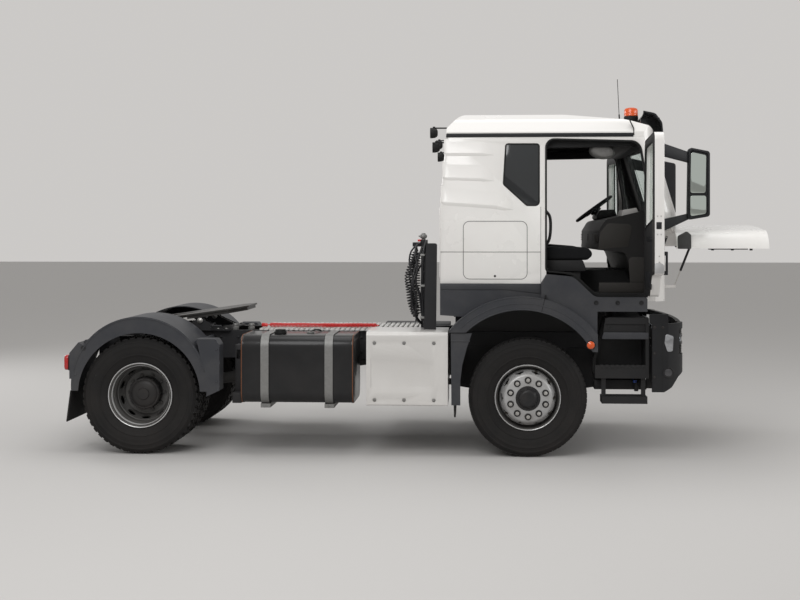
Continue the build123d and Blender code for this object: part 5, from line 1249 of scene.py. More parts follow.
def door_piece(piece, material, edge=0.003, steps=2, angle=35, slot=None, replaces=None):
    """Finishes a piece of the right door, and its twin on the left door."""
    take(piece)
    bpy.ops.object.transform_apply(location=True, rotation=True, scale=True)
    swung(piece)
    _, other = fit_pair(piece, "door_right", material, edge=edge, steps=steps, angle=angle, slot=slot)
    if replaces:
        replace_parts(piece, replaces + "_right")
        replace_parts(other, replaces + "_left")


skin = plate("door_skin_right", DOOR_EDGE, DOOR_OUT, DOOR_IN - 0.003, steps=8)
cut(skin, plate("hole", DOOR_WINDOW, DOOR_OUT - 0.1, DOOR_IN + 0.1, steps=6))
lugs = []
for z0, z1 in ((1.66, 1.72), (2.29, 2.35)):
    lugs.append(bar("lug", at(1.135, -1.112, z0), at(1.135, -1.112, z1), 0.0225, 24))
    lugs.append(block("lug", at(1.097, -1.128, z0), at(1.135, -1.108, z1)))
door_piece(skin, cab_paint, edge=0.006, steps=3, slot="cab_white", replaces="door")
for lug in lugs:
    swung(lug)
fit_pair(joined("door_lugs_right", lugs), "door_right", cab_paint, edge=0.002)
lining = plate("door_lining_right", grown(DOOR_EDGE, -0.012), DOOR_IN + 0.0035, DOOR_IN - 0.02, steps=8)
cut(lining, plate("hole", grown(DOOR_WINDOW, 0.004), DOOR_OUT, DOOR_IN + 0.1, steps=6))
door_piece(lining, cab_inside, edge=0.003)
pockets = [
    plate("pocket", [(0.5, 1.56, 0.04), (1.05, 1.56, 0.04), (1.05, 1.7, 0.04), (0.5, 1.72, 0.04)], DOOR_IN + 0.0045,
          DOOR_IN - 0.01), plate("pocket", [(0.3, 1.98, 0.03), (0.86, 1.98, 0.03), (0.86, 2.03, 0.02),
                                            (0.3, 2.03, 0.02)], DOOR_IN + 0.0045, DOOR_IN - 0.01)]
door_piece(joined("door_pockets_right", pockets), plastic, edge=0.004)
pull = plate("door_pull_right", oblong(0.225, 1.72, 0.262, 2.25, 0.012), DOOR_IN + 0.0048, DOOR_IN - 0.01)
door_piece(pull, finish_material("pull_brown", (0.085, 0.076, 0.067), 0.5, grain=(600.0, 0.35, 0.0006)), edge=0.003)
for name, side_y, thick in (
        ("window_seal_out_right", DOOR_OUT - 0.0015, 0.012), ("window_seal_in_right", DOOR_IN - 0.008, 0.014)):
    door_piece(
        frame_strip(name, grown(DOOR_WINDOW, 0.004), 0.016, side_y, side_y + thick, 6), seal_rubber, edge=0.0015)
edge_seal = frame_strip("door_edge_seal_right", grown(DOOR_EDGE, -0.002), 0.012, DOOR_IN - 0.006, DOOR_IN + 0.0045, 8)
door_piece(edge_seal, seal_rubber, edge=0.003)
handle = [block("handle", at(0.215, DOOR_OUT - 0.034, 1.7), at(0.25, DOOR_OUT - 0.016, 1.9)),
          block("handle", at(0.217, DOOR_OUT - 0.022, 1.7), at(0.248, DOOR_OUT + 0.004, 1.735)),
          block("handle", at(0.217, DOOR_OUT - 0.022, 1.865), at(0.248, DOOR_OUT + 0.004, 1.9))]
door_piece(joined("door_handle_right", handle), plastic, edge=0.006, steps=3)
REAR_X_EDGE = 0.173
lock = [block("lock", at(REAR_X_EDGE - 0.0025, -1.105, 2.09), at(REAR_X_EDGE + 0.01, -1.06, 2.15)),
        block("lock", at(REAR_X_EDGE - 0.0045, -1.09, 2.105), at(REAR_X_EDGE + 0.01, -1.075, 2.135))]
door_piece(joined("door_lock_right", lock), frame_black, edge=0.0015)
screws = []
for y, z in ((-1.1, 2.2), (-1.07, 2.2), (-1.1, 2.045), (-1.07, 2.045), (-1.085, 1.86), (-1.085, 1.81)):
    screws.append(bar("screw", at(REAR_X_EDGE - 0.0022, y, z), at(REAR_X_EDGE + 0.004, y, z), 0.006, 12))
door_piece(joined("door_edge_screws_right", screws), nut_steel, edge=0.0)
foot = plate("door_foot_right", [
    (-1.126, 1.715, 0.008), (-1.046, 1.715, 0.008), (-1.046, 1.8, 0.02), (-1.09, 1.81, 0.02), (-1.126, 1.785, 0.01)],
             REAR_X_EDGE - 0.002, REAR_X_EDGE + 0.01, look="X")
door_piece(foot, rim_silver, edge=0.001)


# Mirrors: black moulded housings on thick arms, each with a main glass and a wide-angle glass in a
# frame. The mirrors look back along the vehicle when the door is shut.
def wedge(name, root, tip, y0, y1):
    """Arm between two upright rectangles (x0, x1, z0, z1) at two places across the vehicle."""
    arm = block(name, (0, 0, 0), (1, 1, 1))
    for vertex in arm.data.vertices:
        x0, x1, z0, z1 = tip if vertex.co.y > 0.5 else root
        vertex.co = at(
            x1 if vertex.co.x > 0.5 else x0, y1 if vertex.co.y > 0.5 else y0, z1 if vertex.co.z > 0.5 else z0)
    return close_and_face_out(arm)


housing = plate(
    "mirror_case", [(-1.64, 2.21, 0.03), (-1.435, 2.175, 0.03), (-1.445, 2.845, 0.03), (-1.64, 2.805, 0.03)], 1.14,
    1.255, look="X", steps=6)
take(housing)
crown = housing.modifiers.new("edges", "BEVEL")
crown.width = 0.014
crown.segments = 4
crown.limit_method = "ANGLE"
crown.angle_limit = math.radians(60)
bpy.ops.object.modifier_apply(modifier="edges")
cut(housing, plate("hollow", [(-1.62, 2.23, 0.02), (-1.456, 2.2, 0.02), (-1.462, 2.822, 0.02), (-1.62, 2.788, 0.02)],
                   1.12, 1.158, look="X", steps=6))
arms = [wedge("arm", (0.955, 1.015, 2.77, 2.895), (1.16, 1.215, 2.7, 2.8), -1.128, -1.455),
        wedge("arm", (1.035, 1.085, 2.035, 2.165), (1.16, 1.215, 2.185, 2.24), -1.128, -1.455)]
arms = joined("mirror_arms_right", arms)
door_piece(arms, plastic, edge=0.012, steps=3)
door_piece(joined("mirror_case_right", [housing]), plastic, edge=0.0, angle=40, replaces="mirror")
mirror_glass = bpy.data.materials.new("mirror_glass")
tree, shader, coords = links(mirror_glass)
film = use_group(tree, dirt_group, coords, Scale=4.0, Top=60.0, Amount=0.1)
silvering = mix_nodes(tree, (0.62, 0.68, 0.64, 1.0), (0.5, 0.52, 0.48, 1.0), film.outputs["Mask"])
tree.links.new(silvering, shader.inputs["Base Color"])
shader.inputs["Metallic"].default_value = 1.0
shader.inputs["Roughness"].default_value = 0.06
main = plate("mirror_main_glass_right", [
    (-1.6, 2.425, 0.02), (-1.462, 2.425, 0.02), (-1.468, 2.8, 0.02), (-1.605, 2.77, 0.02)], 1.15, 1.156, look="X")
wide = plate("mirror_wide_glass_right", [
    (-1.605, 2.235, 0.02), (-1.462, 2.21, 0.02), (-1.462, 2.4, 0.02), (-1.605, 2.4, 0.02)], 1.15, 1.156, look="X")
door_piece(main, mirror_glass, edge=0.001)
door_piece(wide, mirror_glass, edge=0.001)


# Front flap: a shallow moulded panel with rounded edges, propped open on two gas struts, with grey hinge
# plates, and with rubber buffers and seal strips on its inside.
repaint(cab_paint, "front_flap")
repaint(frame_black, "strut_tubes")
repaint(nut_steel, "strut_rods")
flap_grey = finish_material("flap_grey", (0.05, 0.05, 0.049), 0.6)
plates = both_sides("hinge_plate", [(1.368, 1.912, 0.01), (1.49, 1.912, 0.01), (1.49, 2.04, 0.02),
                                    (1.45, 2.075, 0.02), (1.368, 2.03, 0.02)], 1.118, 1.1335)
fit(joined("flap_hinge_plates", plates), "front_flap", flap_grey, edge=0.003)
buffers = [bar("buffer", at(x, side * 1.03, 1.897), at(x, side * 1.03, 1.93), 0.014, 16) for x in (1.7, 1.88, 2.05)
           for side in (-1, 1)]
buffers += [
    block("seal", at(1.66, side * 1.03 - 0.012, 1.905), at(2.02, side * 1.03 + 0.012, 1.917)) for side in (-1, 1)]
fit(joined("flap_buffers", buffers), "front_flap", seal_rubber, edge=0.003)


# Entry steps: black moulded boxes with ribbed treads over a steel foot hanging on two straps. The sill
# above them has three plugs, and a grey fascia hangs under the upper tread.
step_plastic = finish_material("step_plastic", (0.0145, 0.0145, 0.0155), 0.55, grain=(420.0, 0.25, 0.0008),
                               dust=((0.09, 0.082, 0.074), 0.22, 1.8), worn=((0.05, 0.05, 0.05), 0.7, 0.8))
repaint(step_plastic, "steps")
fascia = plate("step_fascia_right", [
    (0.672, 1.088, 0.008), (1.098, 1.088, 0.008), (1.098, 1.15, 0.008), (0.69, 1.15, 0.008)], -1.192, -1.15)
well = [plate("well", [(0.684, 1.145, 0), (1.098, 1.145, 0), (1.098, 1.262, 0), (0.704, 1.262, 0)], -1.178, -1.168)]
well += [bar("dimple", at(x, -1.181, 1.2), at(x, -1.17, 1.2), 0.014, 20) for x in (0.74, 0.99)]
well = joined("step_well_right", well)
treads = []
for z, x0, x1 in ((1.28, 0.73, 1.07), (0.765, 0.66, 1.07)):
    for row in range(7):
        y = -1.178 + 0.042 * row
        treads.append(block("rib", at(x0, y - 0.007, z - 0.002), at(x1, y + 0.007, z + 0.004)))
for row in range(9):
    x = 0.66 + 0.047 * row
    treads.append(block("rib", at(x, -1.1925, 0.822), at(x + 0.028, -1.168, 0.8535)))
for row in range(11):
    x = 0.69 + 0.035 * row
    treads.append(block("rib", at(x, -1.199, 0.564), at(x + 0.018, -1.186, 0.5695)))
ribs = joined("step_ribs_right", treads)
for piece, material, edge in (
        (fascia, wing_plastic, 0.005), (well, step_plastic, 0.002), (ribs, step_plastic, 0.0015)):
    fit_pair(piece, "chassis", material, edge=edge)
plugs = []
for x in (0.62, 0.815, 1.03):
    plugs.append(turned("plug", [(0.0, 0.0), (0.021, 0.0), (0.021, 0.003), (0.016, 0.0035), (0.014, 0.0015),
                                 (0.0, 0.001)], at(x, -1.2, 1.42), 24))
fit_pair(joined("sill_plugs_right", plugs), "cab", step_plastic, angle=50)
sill_seal = plate("sill_seal_right", [
    (1.098, 1.468, 0), (1.098, 1.493, 0), (0.622, 1.493, 0.12), (0.424, 1.683, 0.15), (0.172, 1.703, 0.03),
    (0.172, 1.679, 0.03), (0.416, 1.657, 0.14), (0.612, 1.468, 0.11)], -1.123, -1.112, steps=8)
fit_pair(sill_seal, "cab", seal_rubber, edge=0.003)


# Bumper: dark grained plastic with clear headlamps let in, round fog lamps and bolts. Each headlamp has
# two chromed bowls behind its cover. Brackets, rubber stops and noise shields stand behind the bumper.
bumper_plastic = finish_material("bumper_plastic", (0.0125, 0.013, 0.0145), 0.5, grain=(420.0, 0.25, 0.0008),
                                 dust=((0.09, 0.082, 0.074), 0.16, 1.5), worn=((0.045, 0.045, 0.048), 0.7, 0.8))
repaint(bumper_plastic, "bumper")
lamp_cover = glass_material("lamp_cover", (0.93, 0.95, 0.96))
repaint(lamp_cover, "headlamps")
chrome = finish_material("lamp_chrome", (0.42, 0.43, 0.45), 0.2, metal=1.0, grain=None, shade=0.3, spots=40.0)
bowls = []
for y in (-0.9, -1.03):
    x = 1.385 if y > -1.0 else 1.345
    bowl = turned("bowl", [(0.0, 0.012), (0.03, 0.0), (0.05, -0.012), (0.056, -0.026), (0.06, -0.026), (0.056, 0.004),
                           (0.0, 0.03)], Vector((0, 0, 0)), 28)
    bowl.data.transform(Matrix.Translation(at(x, y, 1.07)) @ Matrix.Rotation(math.radians(-90), 4, "Z"))
    bowls.append(bowl)
bowls.append(block("lamp_back", at(1.3, -1.1, 0.96), at(1.34, -0.78, 1.17)))
bowls.append(block("lamp_strip", at(1.36, -1.09, 0.965), at(1.375, -0.8, 0.985)))
fit_pair(joined("headlamp_bowls_right", bowls), "chassis", chrome, edge=0.002)
side_lens = plate("headlamp_side_right", [
    (1.235, 1.06, 0.02), (1.262, 0.975, 0.02), (1.31, 0.985, 0.015), (1.318, 1.12, 0.02), (1.245, 1.145, 0.02)],
                  -1.2275, -1.2)
fit_pair(side_lens, "chassis", chrome, edge=0.003)
fog = [turned("fog", [(0.0, 0.0), (0.046, 0.0), (0.05, 0.004), (0.046, 0.0085), (0.04, 0.004), (0.0, 0.0015)],
              at(1.27, -1.2235, 0.79), 28)]
fit_pair(joined("fog_rings_right", fog), "chassis", step_plastic, angle=50)
fog_glass = finish_material("fog_glass", (0.1, 0.1, 0.105), 0.15, metal=0.8, grain=None, shade=0.4, spots=60.0)
fog_lens = turned(
    "fog_lens_right", [(0.0, 0.0), (0.036, 0.0), (0.034, 0.004), (0.0, 0.007)], at(1.27, -1.2245, 0.79), 28)
fit_pair(fog_lens, "chassis", fog_glass, angle=50)
bolts = [at(1.145, -1.225, z) for z in (0.745, 0.96, 1.2)] + [at(1.22, -1.225, 1.2)]
rivets("bumper_bolts_right", bolts, 0.012, 0.006, (0, -1, 0), "chassis", frame_black)
twin(bpy.data.objects["bumper_bolts_right"], "bumper_bolts_left", "chassis")
stops = [bar("stop", at(1.425, side * 0.78, z), at(1.458, side * 0.78, z), 0.02, 18) for z in (1.03, 1.1)
         for side in (-1, 1)]
fit(joined("bumper_stops", stops), "chassis", seal_rubber, edge=0.004)
# The bumper seam is a thin black strip laid on: painted shade of the gap between the parts.
seam_line = block("bumper_seam_right", at(1.212, -1.2258, 0.625), at(1.2155, -1.21, 1.235))
fit_pair(seam_line, "chassis", seal_rubber)
bracket = [
    block("bracket", at(1.088, -1.1, 0.63), at(1.2, -1.05, 1.02)), block("tray", at(0.62, -1.02, 0.61),
                                                                         at(1.1, -0.8, 0.7)),
    bar("drum", at(0.66, -0.9, 0.74), at(1.0, -0.9, 0.74), 0.045, 20), bar("neck", at(1.0, -1.06, 0.6),
                                                                           at(1.0, -1.06, 0.68), 0.02, 16)]
fit_pair(joined("bumper_bracket_right", bracket), "chassis", step_plastic, edge=0.004)
shields = both_sides(
    "shield", [(-0.64, 0.6, 0.05), (-0.25, 0.56, 0.05), (-0.2, 0.95, 0.03), (-0.64, 0.95, 0.03)], 0.47, 0.482)
shields += both_sides(
    "shield", [(0.45, 0.56, 0.05), (0.9, 0.6, 0.05), (0.9, 0.95, 0.03), (0.4, 0.95, 0.03)], 0.47, 0.482)
fit(joined("noise_shields", shields), "chassis", step_plastic, edge=0.003)
blue_plastic = finish_material("blue_plastic", (0.01, 0.04, 0.22), 0.4, grain=None)
fit(bar("coolant_cap", at(0.985, -1.07, 0.68), at(0.985, -1.07, 0.705), 0.018, 20), "chassis", blue_plastic,
    edge=0.003)


# Cab inside: black grained mouldings, a grey instrument top, a padded wheel, two cloth seats and a bunk.
# The cushions are soft pieces inside the seats' solids.
dash_dark = finish_material("dash_dark", (0.0095, 0.009, 0.009), 0.55, grain=(600.0, 0.35, 0.0006), shade=0.15,
                            dust=((0.05, 0.045, 0.04), 0.15, 3.0))
dash_brown = finish_material("dash_brown", (0.024, 0.022, 0.02), 0.6, grain=(600.0, 0.35, 0.0006), shade=0.1)
dash_grey = finish_material("dash_grey", (0.3, 0.29, 0.28), 0.55, grain=(600.0, 0.3, 0.0006))
repaint(dash_dark, "dashboard")
repaint(cab_inside, "steering_wheel")
dash_top = plate(
    "dash_top", [(0.87, 2.205, 0), (1.03, 2.235, 0), (1.01, 2.292, 0.012), (0.885, 2.272, 0.012)], -1.0, -0.62)
fit(dash_top, "cab", dash_grey, edge=0.004)
dash_parts = both_sides(
    "panel", [(0.655, 1.905, 0.01), (0.93, 1.93, 0.02), (0.97, 2.14, 0.04), (0.74, 2.15, 0.05), (0.67, 2.06, 0.03)],
    1.0375, 1.02)
dash_parts += both_sides(
    "panel", [(0.95, 1.53, 0.02), (1.14, 1.53, 0.02), (1.14, 1.83, 0.04), (0.93, 1.84, 0.04)], 1.0375, 1.02)
dash_parts.append(plate("panel", oblong(-0.94, 1.96, -0.5, 2.05, 0.02), 0.652, 0.665, look="X"))
fit(joined("dash_panels", dash_parts), "cab", dash_brown, edge=0.005)
binnacle = plate("instrument_hood", [
    (0.72, 2.17, 0.03), (0.86, 2.215, 0), (0.97, 2.24, 0), (0.95, 2.3, 0.03), (0.8, 2.295, 0.04)], 0.36, 0.9)
fit(binnacle, "cab", dash_dark, edge=0.012, steps=3)
vents = []
for y in (-0.95, -0.42, 0.2, 0.98):
    for slat in range(4):
        vents.append(
            block("vent", at(0.652, y - 0.05, 1.985 + 0.018 * slat), at(0.664, y + 0.05, 1.992 + 0.018 * slat)))
fit(joined("dash_vents", vents), "cab", cab_inside)
door_card = both_sides("card", [(0.655, 1.505, 0), (1.09, 1.505, 0), (1.09, 1.6, 0), (0.66, 1.6, 0)], 1.058, 1.0505)
fit(joined("sill_cards", door_card), "cab", dash_brown, edge=0.003)
headliner = both_sides(
    "shelf", [(0.13, 2.93, 0), (1.0, 2.93, 0), (1.0, 2.86, 0.05), (0.13, 2.845, 0.03)], 0.98, 1.037)
headliner.append(
    plate("shelf", [(0.93, 2.94, 0), (1.16, 2.94, 0), (1.1, 2.86, 0.03), (0.97, 2.85, 0.04)], -0.98, 0.98))
fit(joined("headliner_shelves", headliner), "cab", cab_inside, edge=0.008, steps=3)
pads = both_sides("pad", oblong(0.1, 1.9, 0.148, 2.88, 0.02), 1.059, 1.03)
fit(joined("pillar_pads", pads), "cab", cab_inside, edge=0.006)
grip_route = [at(0.15, -1.023, 1.93), at(0.185, -1.022, 1.95), at(0.215, -1.02, 2.03), at(0.218, -1.02, 2.18),
              at(0.2, -1.022, 2.24), at(0.15, -1.023, 2.28)]
fit_pair(rod("grab_handle_right", grip_route, 0.014, 10), "cab", cab_inside, angle=60)
roll = turned("sleeve_roll", [
    (0.0, -0.14), (0.05, -0.14), (0.062, -0.12), (0.068, -0.05), (0.062, 0.0), (0.07, 0.06), (0.06, 0.12),
    (0.048, 0.14), (0.0, 0.14)], at(0.7, -0.86, 2.82), 28)
roll_x = at(0.7, 0.0, 0.0).x
for vertex in roll.data.vertices:
    vertex.co.x = roll_x + (vertex.co.x - roll_x) * 1.7
    vertex.co.z -= 0.12 * (vertex.co.x - roll_x)
cloth_grey = finish_material("roll_cloth", (0.2, 0.195, 0.19), 0.9, grain=(900.0, 0.6, 0.0008), shade=0.3, spots=30.0)
fit(roll, "cab", cloth_grey, angle=60)

seat_cloth = bpy.data.materials.new("seat_cloth")
tree, shader, coords = links(seat_cloth)
shader.inputs["Roughness"].default_value = 0.95
shader.inputs["Sheen Weight"].default_value = 0.04
shader.inputs["Specular IOR Level"].default_value = 0.2
weave = new_node(tree, "TexVoronoi", [("Scale", 420.0)])
bump = new_node(tree, "Bump", [("Strength", 0.5), ("Distance", 0.0008)])
wire(tree, (coords, "Object", weave, "Vector"), (weave, "Distance", bump, "Height"), (bump, "Normal", shader,
                                                                                      "Normal"))
thread = mix_nodes(tree, (0.004, 0.004, 0.0045, 1.0), (0.014, 0.0145, 0.016, 1.0), weave.outputs["Distance"])
tree.links.new(thread, shader.inputs["Base Color"])


CLOTH_FRAMES = 20


def cushion(name, source, body, cap, voxel=0.009):
    """Stuffed cushion: a cloth skin blown out of a plain form, held within a cap, then smoothed."""
    take(source)
    bpy.ops.object.transform_apply(location=True, rotation=True, scale=True)
    source.name = name
    source.data.remesh_voxel_size = voxel
    bpy.ops.object.voxel_remesh()
    start = [vertex.co.copy() for vertex in source.data.vertices]
    skin = source.modifiers.new("Cloth", "CLOTH")
    skin.settings.use_pressure = True
    skin.settings.uniform_pressure_force = 4.0
    skin.settings.effector_weights.gravity = 0.0
    skin.settings.quality = 4
    skin.point_cache.frame_start = 1
    skin.point_cache.frame_end = CLOTH_FRAMES
    for number in range(1, CLOTH_FRAMES + 1):
        bpy.context.scene.frame_set(number)
    blown = source.evaluated_get(bpy.context.evaluated_depsgraph_get())
    places = [vertex.co.copy() for vertex in blown.data.vertices]
    source.modifiers.remove(skin)
    for vertex, before, after in zip(source.data.vertices, start, places):
        move = after - before
        if move.length > cap:
            move = move.normalized() * cap
        vertex.co = before + move
    bpy.context.scene.frame_set(1)
    relax = source.modifiers.new("relax", "SMOOTH")
    relax.factor = 0.5
    relax.iterations = 4
    take(source)
    bpy.ops.object.modifier_apply(modifier="relax")
    fit(source, body, seat_cloth, angle=180)
    return source


seat_y = -0.75
seat_base = [block("base", at(0.2, seat_y - 0.17, 1.502), at(0.5, seat_y + 0.17, 1.7)),
             plate("base", [(0.14, 1.7, 0.02), (0.56, 1.7, 0.02), (0.52, 1.805, 0.02), (0.14, 1.805, 0.02)],
                   seat_y - 0.2, seat_y + 0.2)]
fit_pair(joined("seat_base_right", seat_base), "cab", cab_inside, edge=0.008)
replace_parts(bpy.data.objects["seat_base_right"], "seats")
seat_pad = plate(
    "pad", [(0.11, 1.82, 0.03), (0.61, 1.82, 0.04), (0.625, 1.9, 0.04), (0.3, 1.925, 0), (0.11, 1.9, 0.03)],
    seat_y - 0.235, seat_y + 0.235)
seat_pad = cushion("seat_cushion_right", seat_pad, "cab", 0.016)
seat_back = plate("pad", [(0.085, 1.87, 0.03), (0.12, 1.915, 0.02), (0.035, 2.585, 0.03), (-0.055, 2.585, 0.03),
                          (-0.015, 1.885, 0.03)], seat_y - 0.215, seat_y + 0.215)
seat_back = cushion("seat_back_right", seat_back, "cab", 0.014)
bunk_pad = plate(
    "pad", [(-0.755, 1.715, 0.03), (-0.165, 1.715, 0.03), (-0.165, 1.86, 0.04), (-0.755, 1.86, 0.04)], -1.04, 1.04)
bunk_pad = cushion("bunk_cushion", bunk_pad, "cab", 0.014, voxel=0.016)
for pad in (seat_pad, seat_back):
    other = twin(pad, pad.name.replace("right", "left"), "cab")


# Roof: two orange beacons on black feet, a whip antenna, and black work lamps on brackets at the rear
# corners. A smoked visor stands over the windscreen.
visor_smoke = finish_material("visor_smoke", (0.008, 0.009, 0.011), 0.18, grain=None, coat=0.4)
repaint(visor_smoke, "sun_visor")


def along(piece, place, way):
    """Turns a round piece made about the origin so that its axis points along way, and puts it in place."""
    turn = Vector((0.0, -1.0, 0.0)).rotation_difference(Vector(way)).to_matrix().to_4x4()
    piece.data.transform(Matrix.Translation(place) @ turn)
    return piece


NOWHERE = Vector((0.0, 0.0, 0.0))
beacon_feet = []
domes = []
for side in (-1, 1):
    foot = turned("foot", [(0.0, -0.02), (0.068, -0.02), (0.068, 0.03), (0.062, 0.042), (0.067, 0.046), (0.067, 0.07),
                           (0.06, 0.076), (0.0, 0.076)], NOWHERE, 40)
    beacon_feet.append(along(foot, at(0.993, side * 0.7, 3.09), (0, 0, 1)))
    dome = turned("dome", [
        (0.0, 0.0), (0.062, 0.0), (0.066, 0.006), (0.0655, 0.022), (0.0635, 0.025), (0.0655, 0.028), (0.0645, 0.056),
        (0.057, 0.072), (0.035, 0.081), (0.0, 0.082)], NOWHERE, 40)
    domes.append(along(dome, at(0.993, side * 0.7, 3.165), (0, 0, 1)))
feet = fit(joined("beacon_feet", beacon_feet), "cab", seal_rubber, angle=40)
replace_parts(feet, "roof_fittings")
fit(joined("beacon_domes", domes), "cab", orange_lens, angle=35)
antenna = [bar("mast", at(0.905, -0.5, 3.1), at(0.905, -0.5, 3.15), 0.011, 16), bar("mast", at(0.905, -0.5, 3.14),
                                                                                    at(0.902, -0.5, 3.2), 0.007, 12),
           bar("mast", at(0.902, -0.5, 3.19), at(0.885, -0.5, 3.54), 0.003, 8)]
fit(joined("antenna", antenna), "cab", seal_rubber, angle=40)
lamp_parts = []
lenses = []
for side in (-1, 1):
    for x, y, z in ((-0.872, 0.85, 3.003), (-0.852, 0.8, 2.87)):
        shell = turned("shell", [(0.0, -0.036), (0.02, -0.036), (0.034, -0.03), (0.046, -0.012), (0.05, 0.016),
                                 (0.05, 0.034), (0.046, 0.037), (0.043, 0.03), (0.0, 0.028)], NOWHERE, 32)
        lamp_parts.append(along(shell, at(x, side * y, z), (-1, 0, 0)))
        glass = turned("glass", [(0.0, 0.026), (0.043, 0.026), (0.042, 0.032), (0.0, 0.036)], NOWHERE, 32)
        lenses.append(along(glass, at(x, side * y, z), (-1, 0, 0)))
        lamp_parts.append(
            block("bracket", at(x, side * y - 0.012, z + 0.04), at(x + 0.16, side * y + 0.012, z + 0.052)))
        lamp_parts.append(
            block("bracket", at(x - 0.012, side * y - 0.014, z + 0.036), at(x + 0.012, side * y + 0.014, z + 0.06)))
fit(joined("work_lamps", lamp_parts), "cab", seal_rubber, edge=0.002, angle=40)
fit(joined("work_lamp_lenses", lenses), "cab", chrome, angle=40)


# Catwalk: grooved aluminium planks laid across two bearers over the frame, bolted down at each bearer.
# They are walked on, so they are dull and dusty.
walk_metal = finish_material(
    "walk_aluminium", (0.74, 0.735, 0.72), 0.4, metal=0.25, grain=(160.0, 0.3, 0.0006), spots=5.0,
    dust=((0.3, 0.28, 0.25), 0.2, 1.2), shade=0.2)
plank = plate("plank", [
    (0.0, 1.103, 0), (0.03, 1.103, 0), (0.03, 1.121, 0.003), (0.0255, 1.121, 0), (0.0245, 1.1165, 0),
    (0.0175, 1.1165, 0), (0.0165, 1.121, 0), (0.0135, 1.121, 0), (0.0125, 1.1165, 0), (0.0055, 1.1165, 0),
    (0.0045, 1.121, 0), (0.0, 1.121, 0.003)], -0.46, 0.46, steps=2)
planks = []
for step in range(32):
    copy = plank.copy()
    copy.data = plank.data.copy()
    bpy.context.scene.collection.objects.link(copy)
    copy.data.transform(Matrix.Translation((-2.6 + 0.05 * step, 0.0, 0.0)))
    planks.append(copy)
bpy.data.objects.remove(plank)
bearers = [
    block("bearer", at(-2.6, side * 0.36 - 0.02, 1.095), at(-1.02, side * 0.36 + 0.02, 1.1035)) for side in (-1, 1)]
walk = fit(joined("catwalk_planks", planks + bearers), "chassis", walk_metal)
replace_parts(walk, "catwalk")
heads = [at(-2.585 + 0.05 * step, side * 0.36, 1.1165) for step in range(32) for side in (-1, 1)]
rivets("catwalk_bolts", heads, 0.008, 0.004, (0, 0, 1), "chassis", nut_steel)


# Fifth wheel: a cast coupling plate, greased on top, with its release handle, on two welded pedestals
# with their pins and bolts. The plate rides on its own pivot. Two valves stand on the frame before it.
grease_grey = finish_material(
    "grease_grey", (0.034, 0.032, 0.03), 0.4, grain=(60.0, 0.4, 0.002), spots=9.0, shade=0.45,
    dust=((0.1, 0.088, 0.075), 0.3, 1.2), worn=((0.13, 0.12, 0.11), 0.6, 0.72))
repaint(grease_grey, "fifth_wheel_plate")
repaint(frame_black, "fifth_wheel_base")
COUPLING_X = -3.2
pins = []
for side in (-1, 1):
    for way in (-1, 1):
        y = side * 0.36 + way * 0.058
        pins.append(bar("pin", at(COUPLING_X, y, 1.192), at(COUPLING_X, y + way * 0.014, 1.192), 0.028, 20))
        pins.append(
            bar("nut", at(COUPLING_X, y + way * 0.012, 1.192), at(COUPLING_X, y + way * 0.026, 1.192), 0.017, 6))
fit(joined("coupling_pins", pins), "chassis", nut_steel, edge=0.002)
heads = [at(COUPLING_X + x, side * 0.41, 1.107) for x in (-0.24, -0.16, 0.18, 0.26) for side in (-1, 1)]
rivets("coupling_bolts", heads, 0.014, 0.012, (0, 0, 1), "chassis", nut_steel)
handle_route = [at(-3.08, -0.3, 1.16), at(-3.08, -0.42, 1.155), at(-3.06, -0.56, 1.15), at(-3.0, -0.6, 1.15),
                at(-2.95, -0.6, 1.15)]
fit(rod("release_handle", handle_route, 0.011, 8), "fifth_wheel_plate", frame_black, angle=60)
valves = []
for x, y, z in ((-2.7, -0.34, 1.1), (-2.86, -0.34, 1.1)):
    valves.append(along(turned("valve", [(0.0, 0.0), (0.03, 0.0), (0.034, 0.01), (0.034, 0.03), (0.024, 0.036),
                                         (0.024, 0.05), (0.03, 0.054), (0.026, 0.066), (0.0, 0.068)], NOWHERE, 24),
                        at(x, y, z - 0.005), (0, 0, 1)))
fit(joined("frame_valves", valves), "chassis", galvanised, angle=40)


# Rear end: moulded fenders with a raised band along the edge, on steel stays, rounded tail lamps in black
# housings, and rubber flaps. The brown lines where the tank's paint has gone are made here too.
flap_rubber = finish_material(
    "flap_rubber", (0.012, 0.012, 0.012), 0.6, grain=(90.0, 0.3, 0.0008), dust=((0.08, 0.07, 0.06), 0.3, 1.3))
repaint(flap_rubber, "mudflaps")
lamp_shells = []
lamp_faces = []
for side in (-1, 1):
    low, high = sorted((side * 1.234, side * 0.902))
    lamp_shells.append(plate("housing", oblong(low, 0.774, high, 0.921, 0.02), -4.272, -4.2555, look="X"))
    lamp_faces.append(plate("lens", oblong(low + 0.004, 0.777, high - 0.004, 0.918, 0.035), -4.3125, -4.27, look="X"))
tail_shells = fit(joined("tail_lamp_housings", lamp_shells), "chassis", seal_rubber, edge=0.004)
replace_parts(tail_shells, "tail_lamps")
fit(joined("tail_lamp_lenses", lamp_faces), "chassis", red_lens, edge=0.012, steps=3)
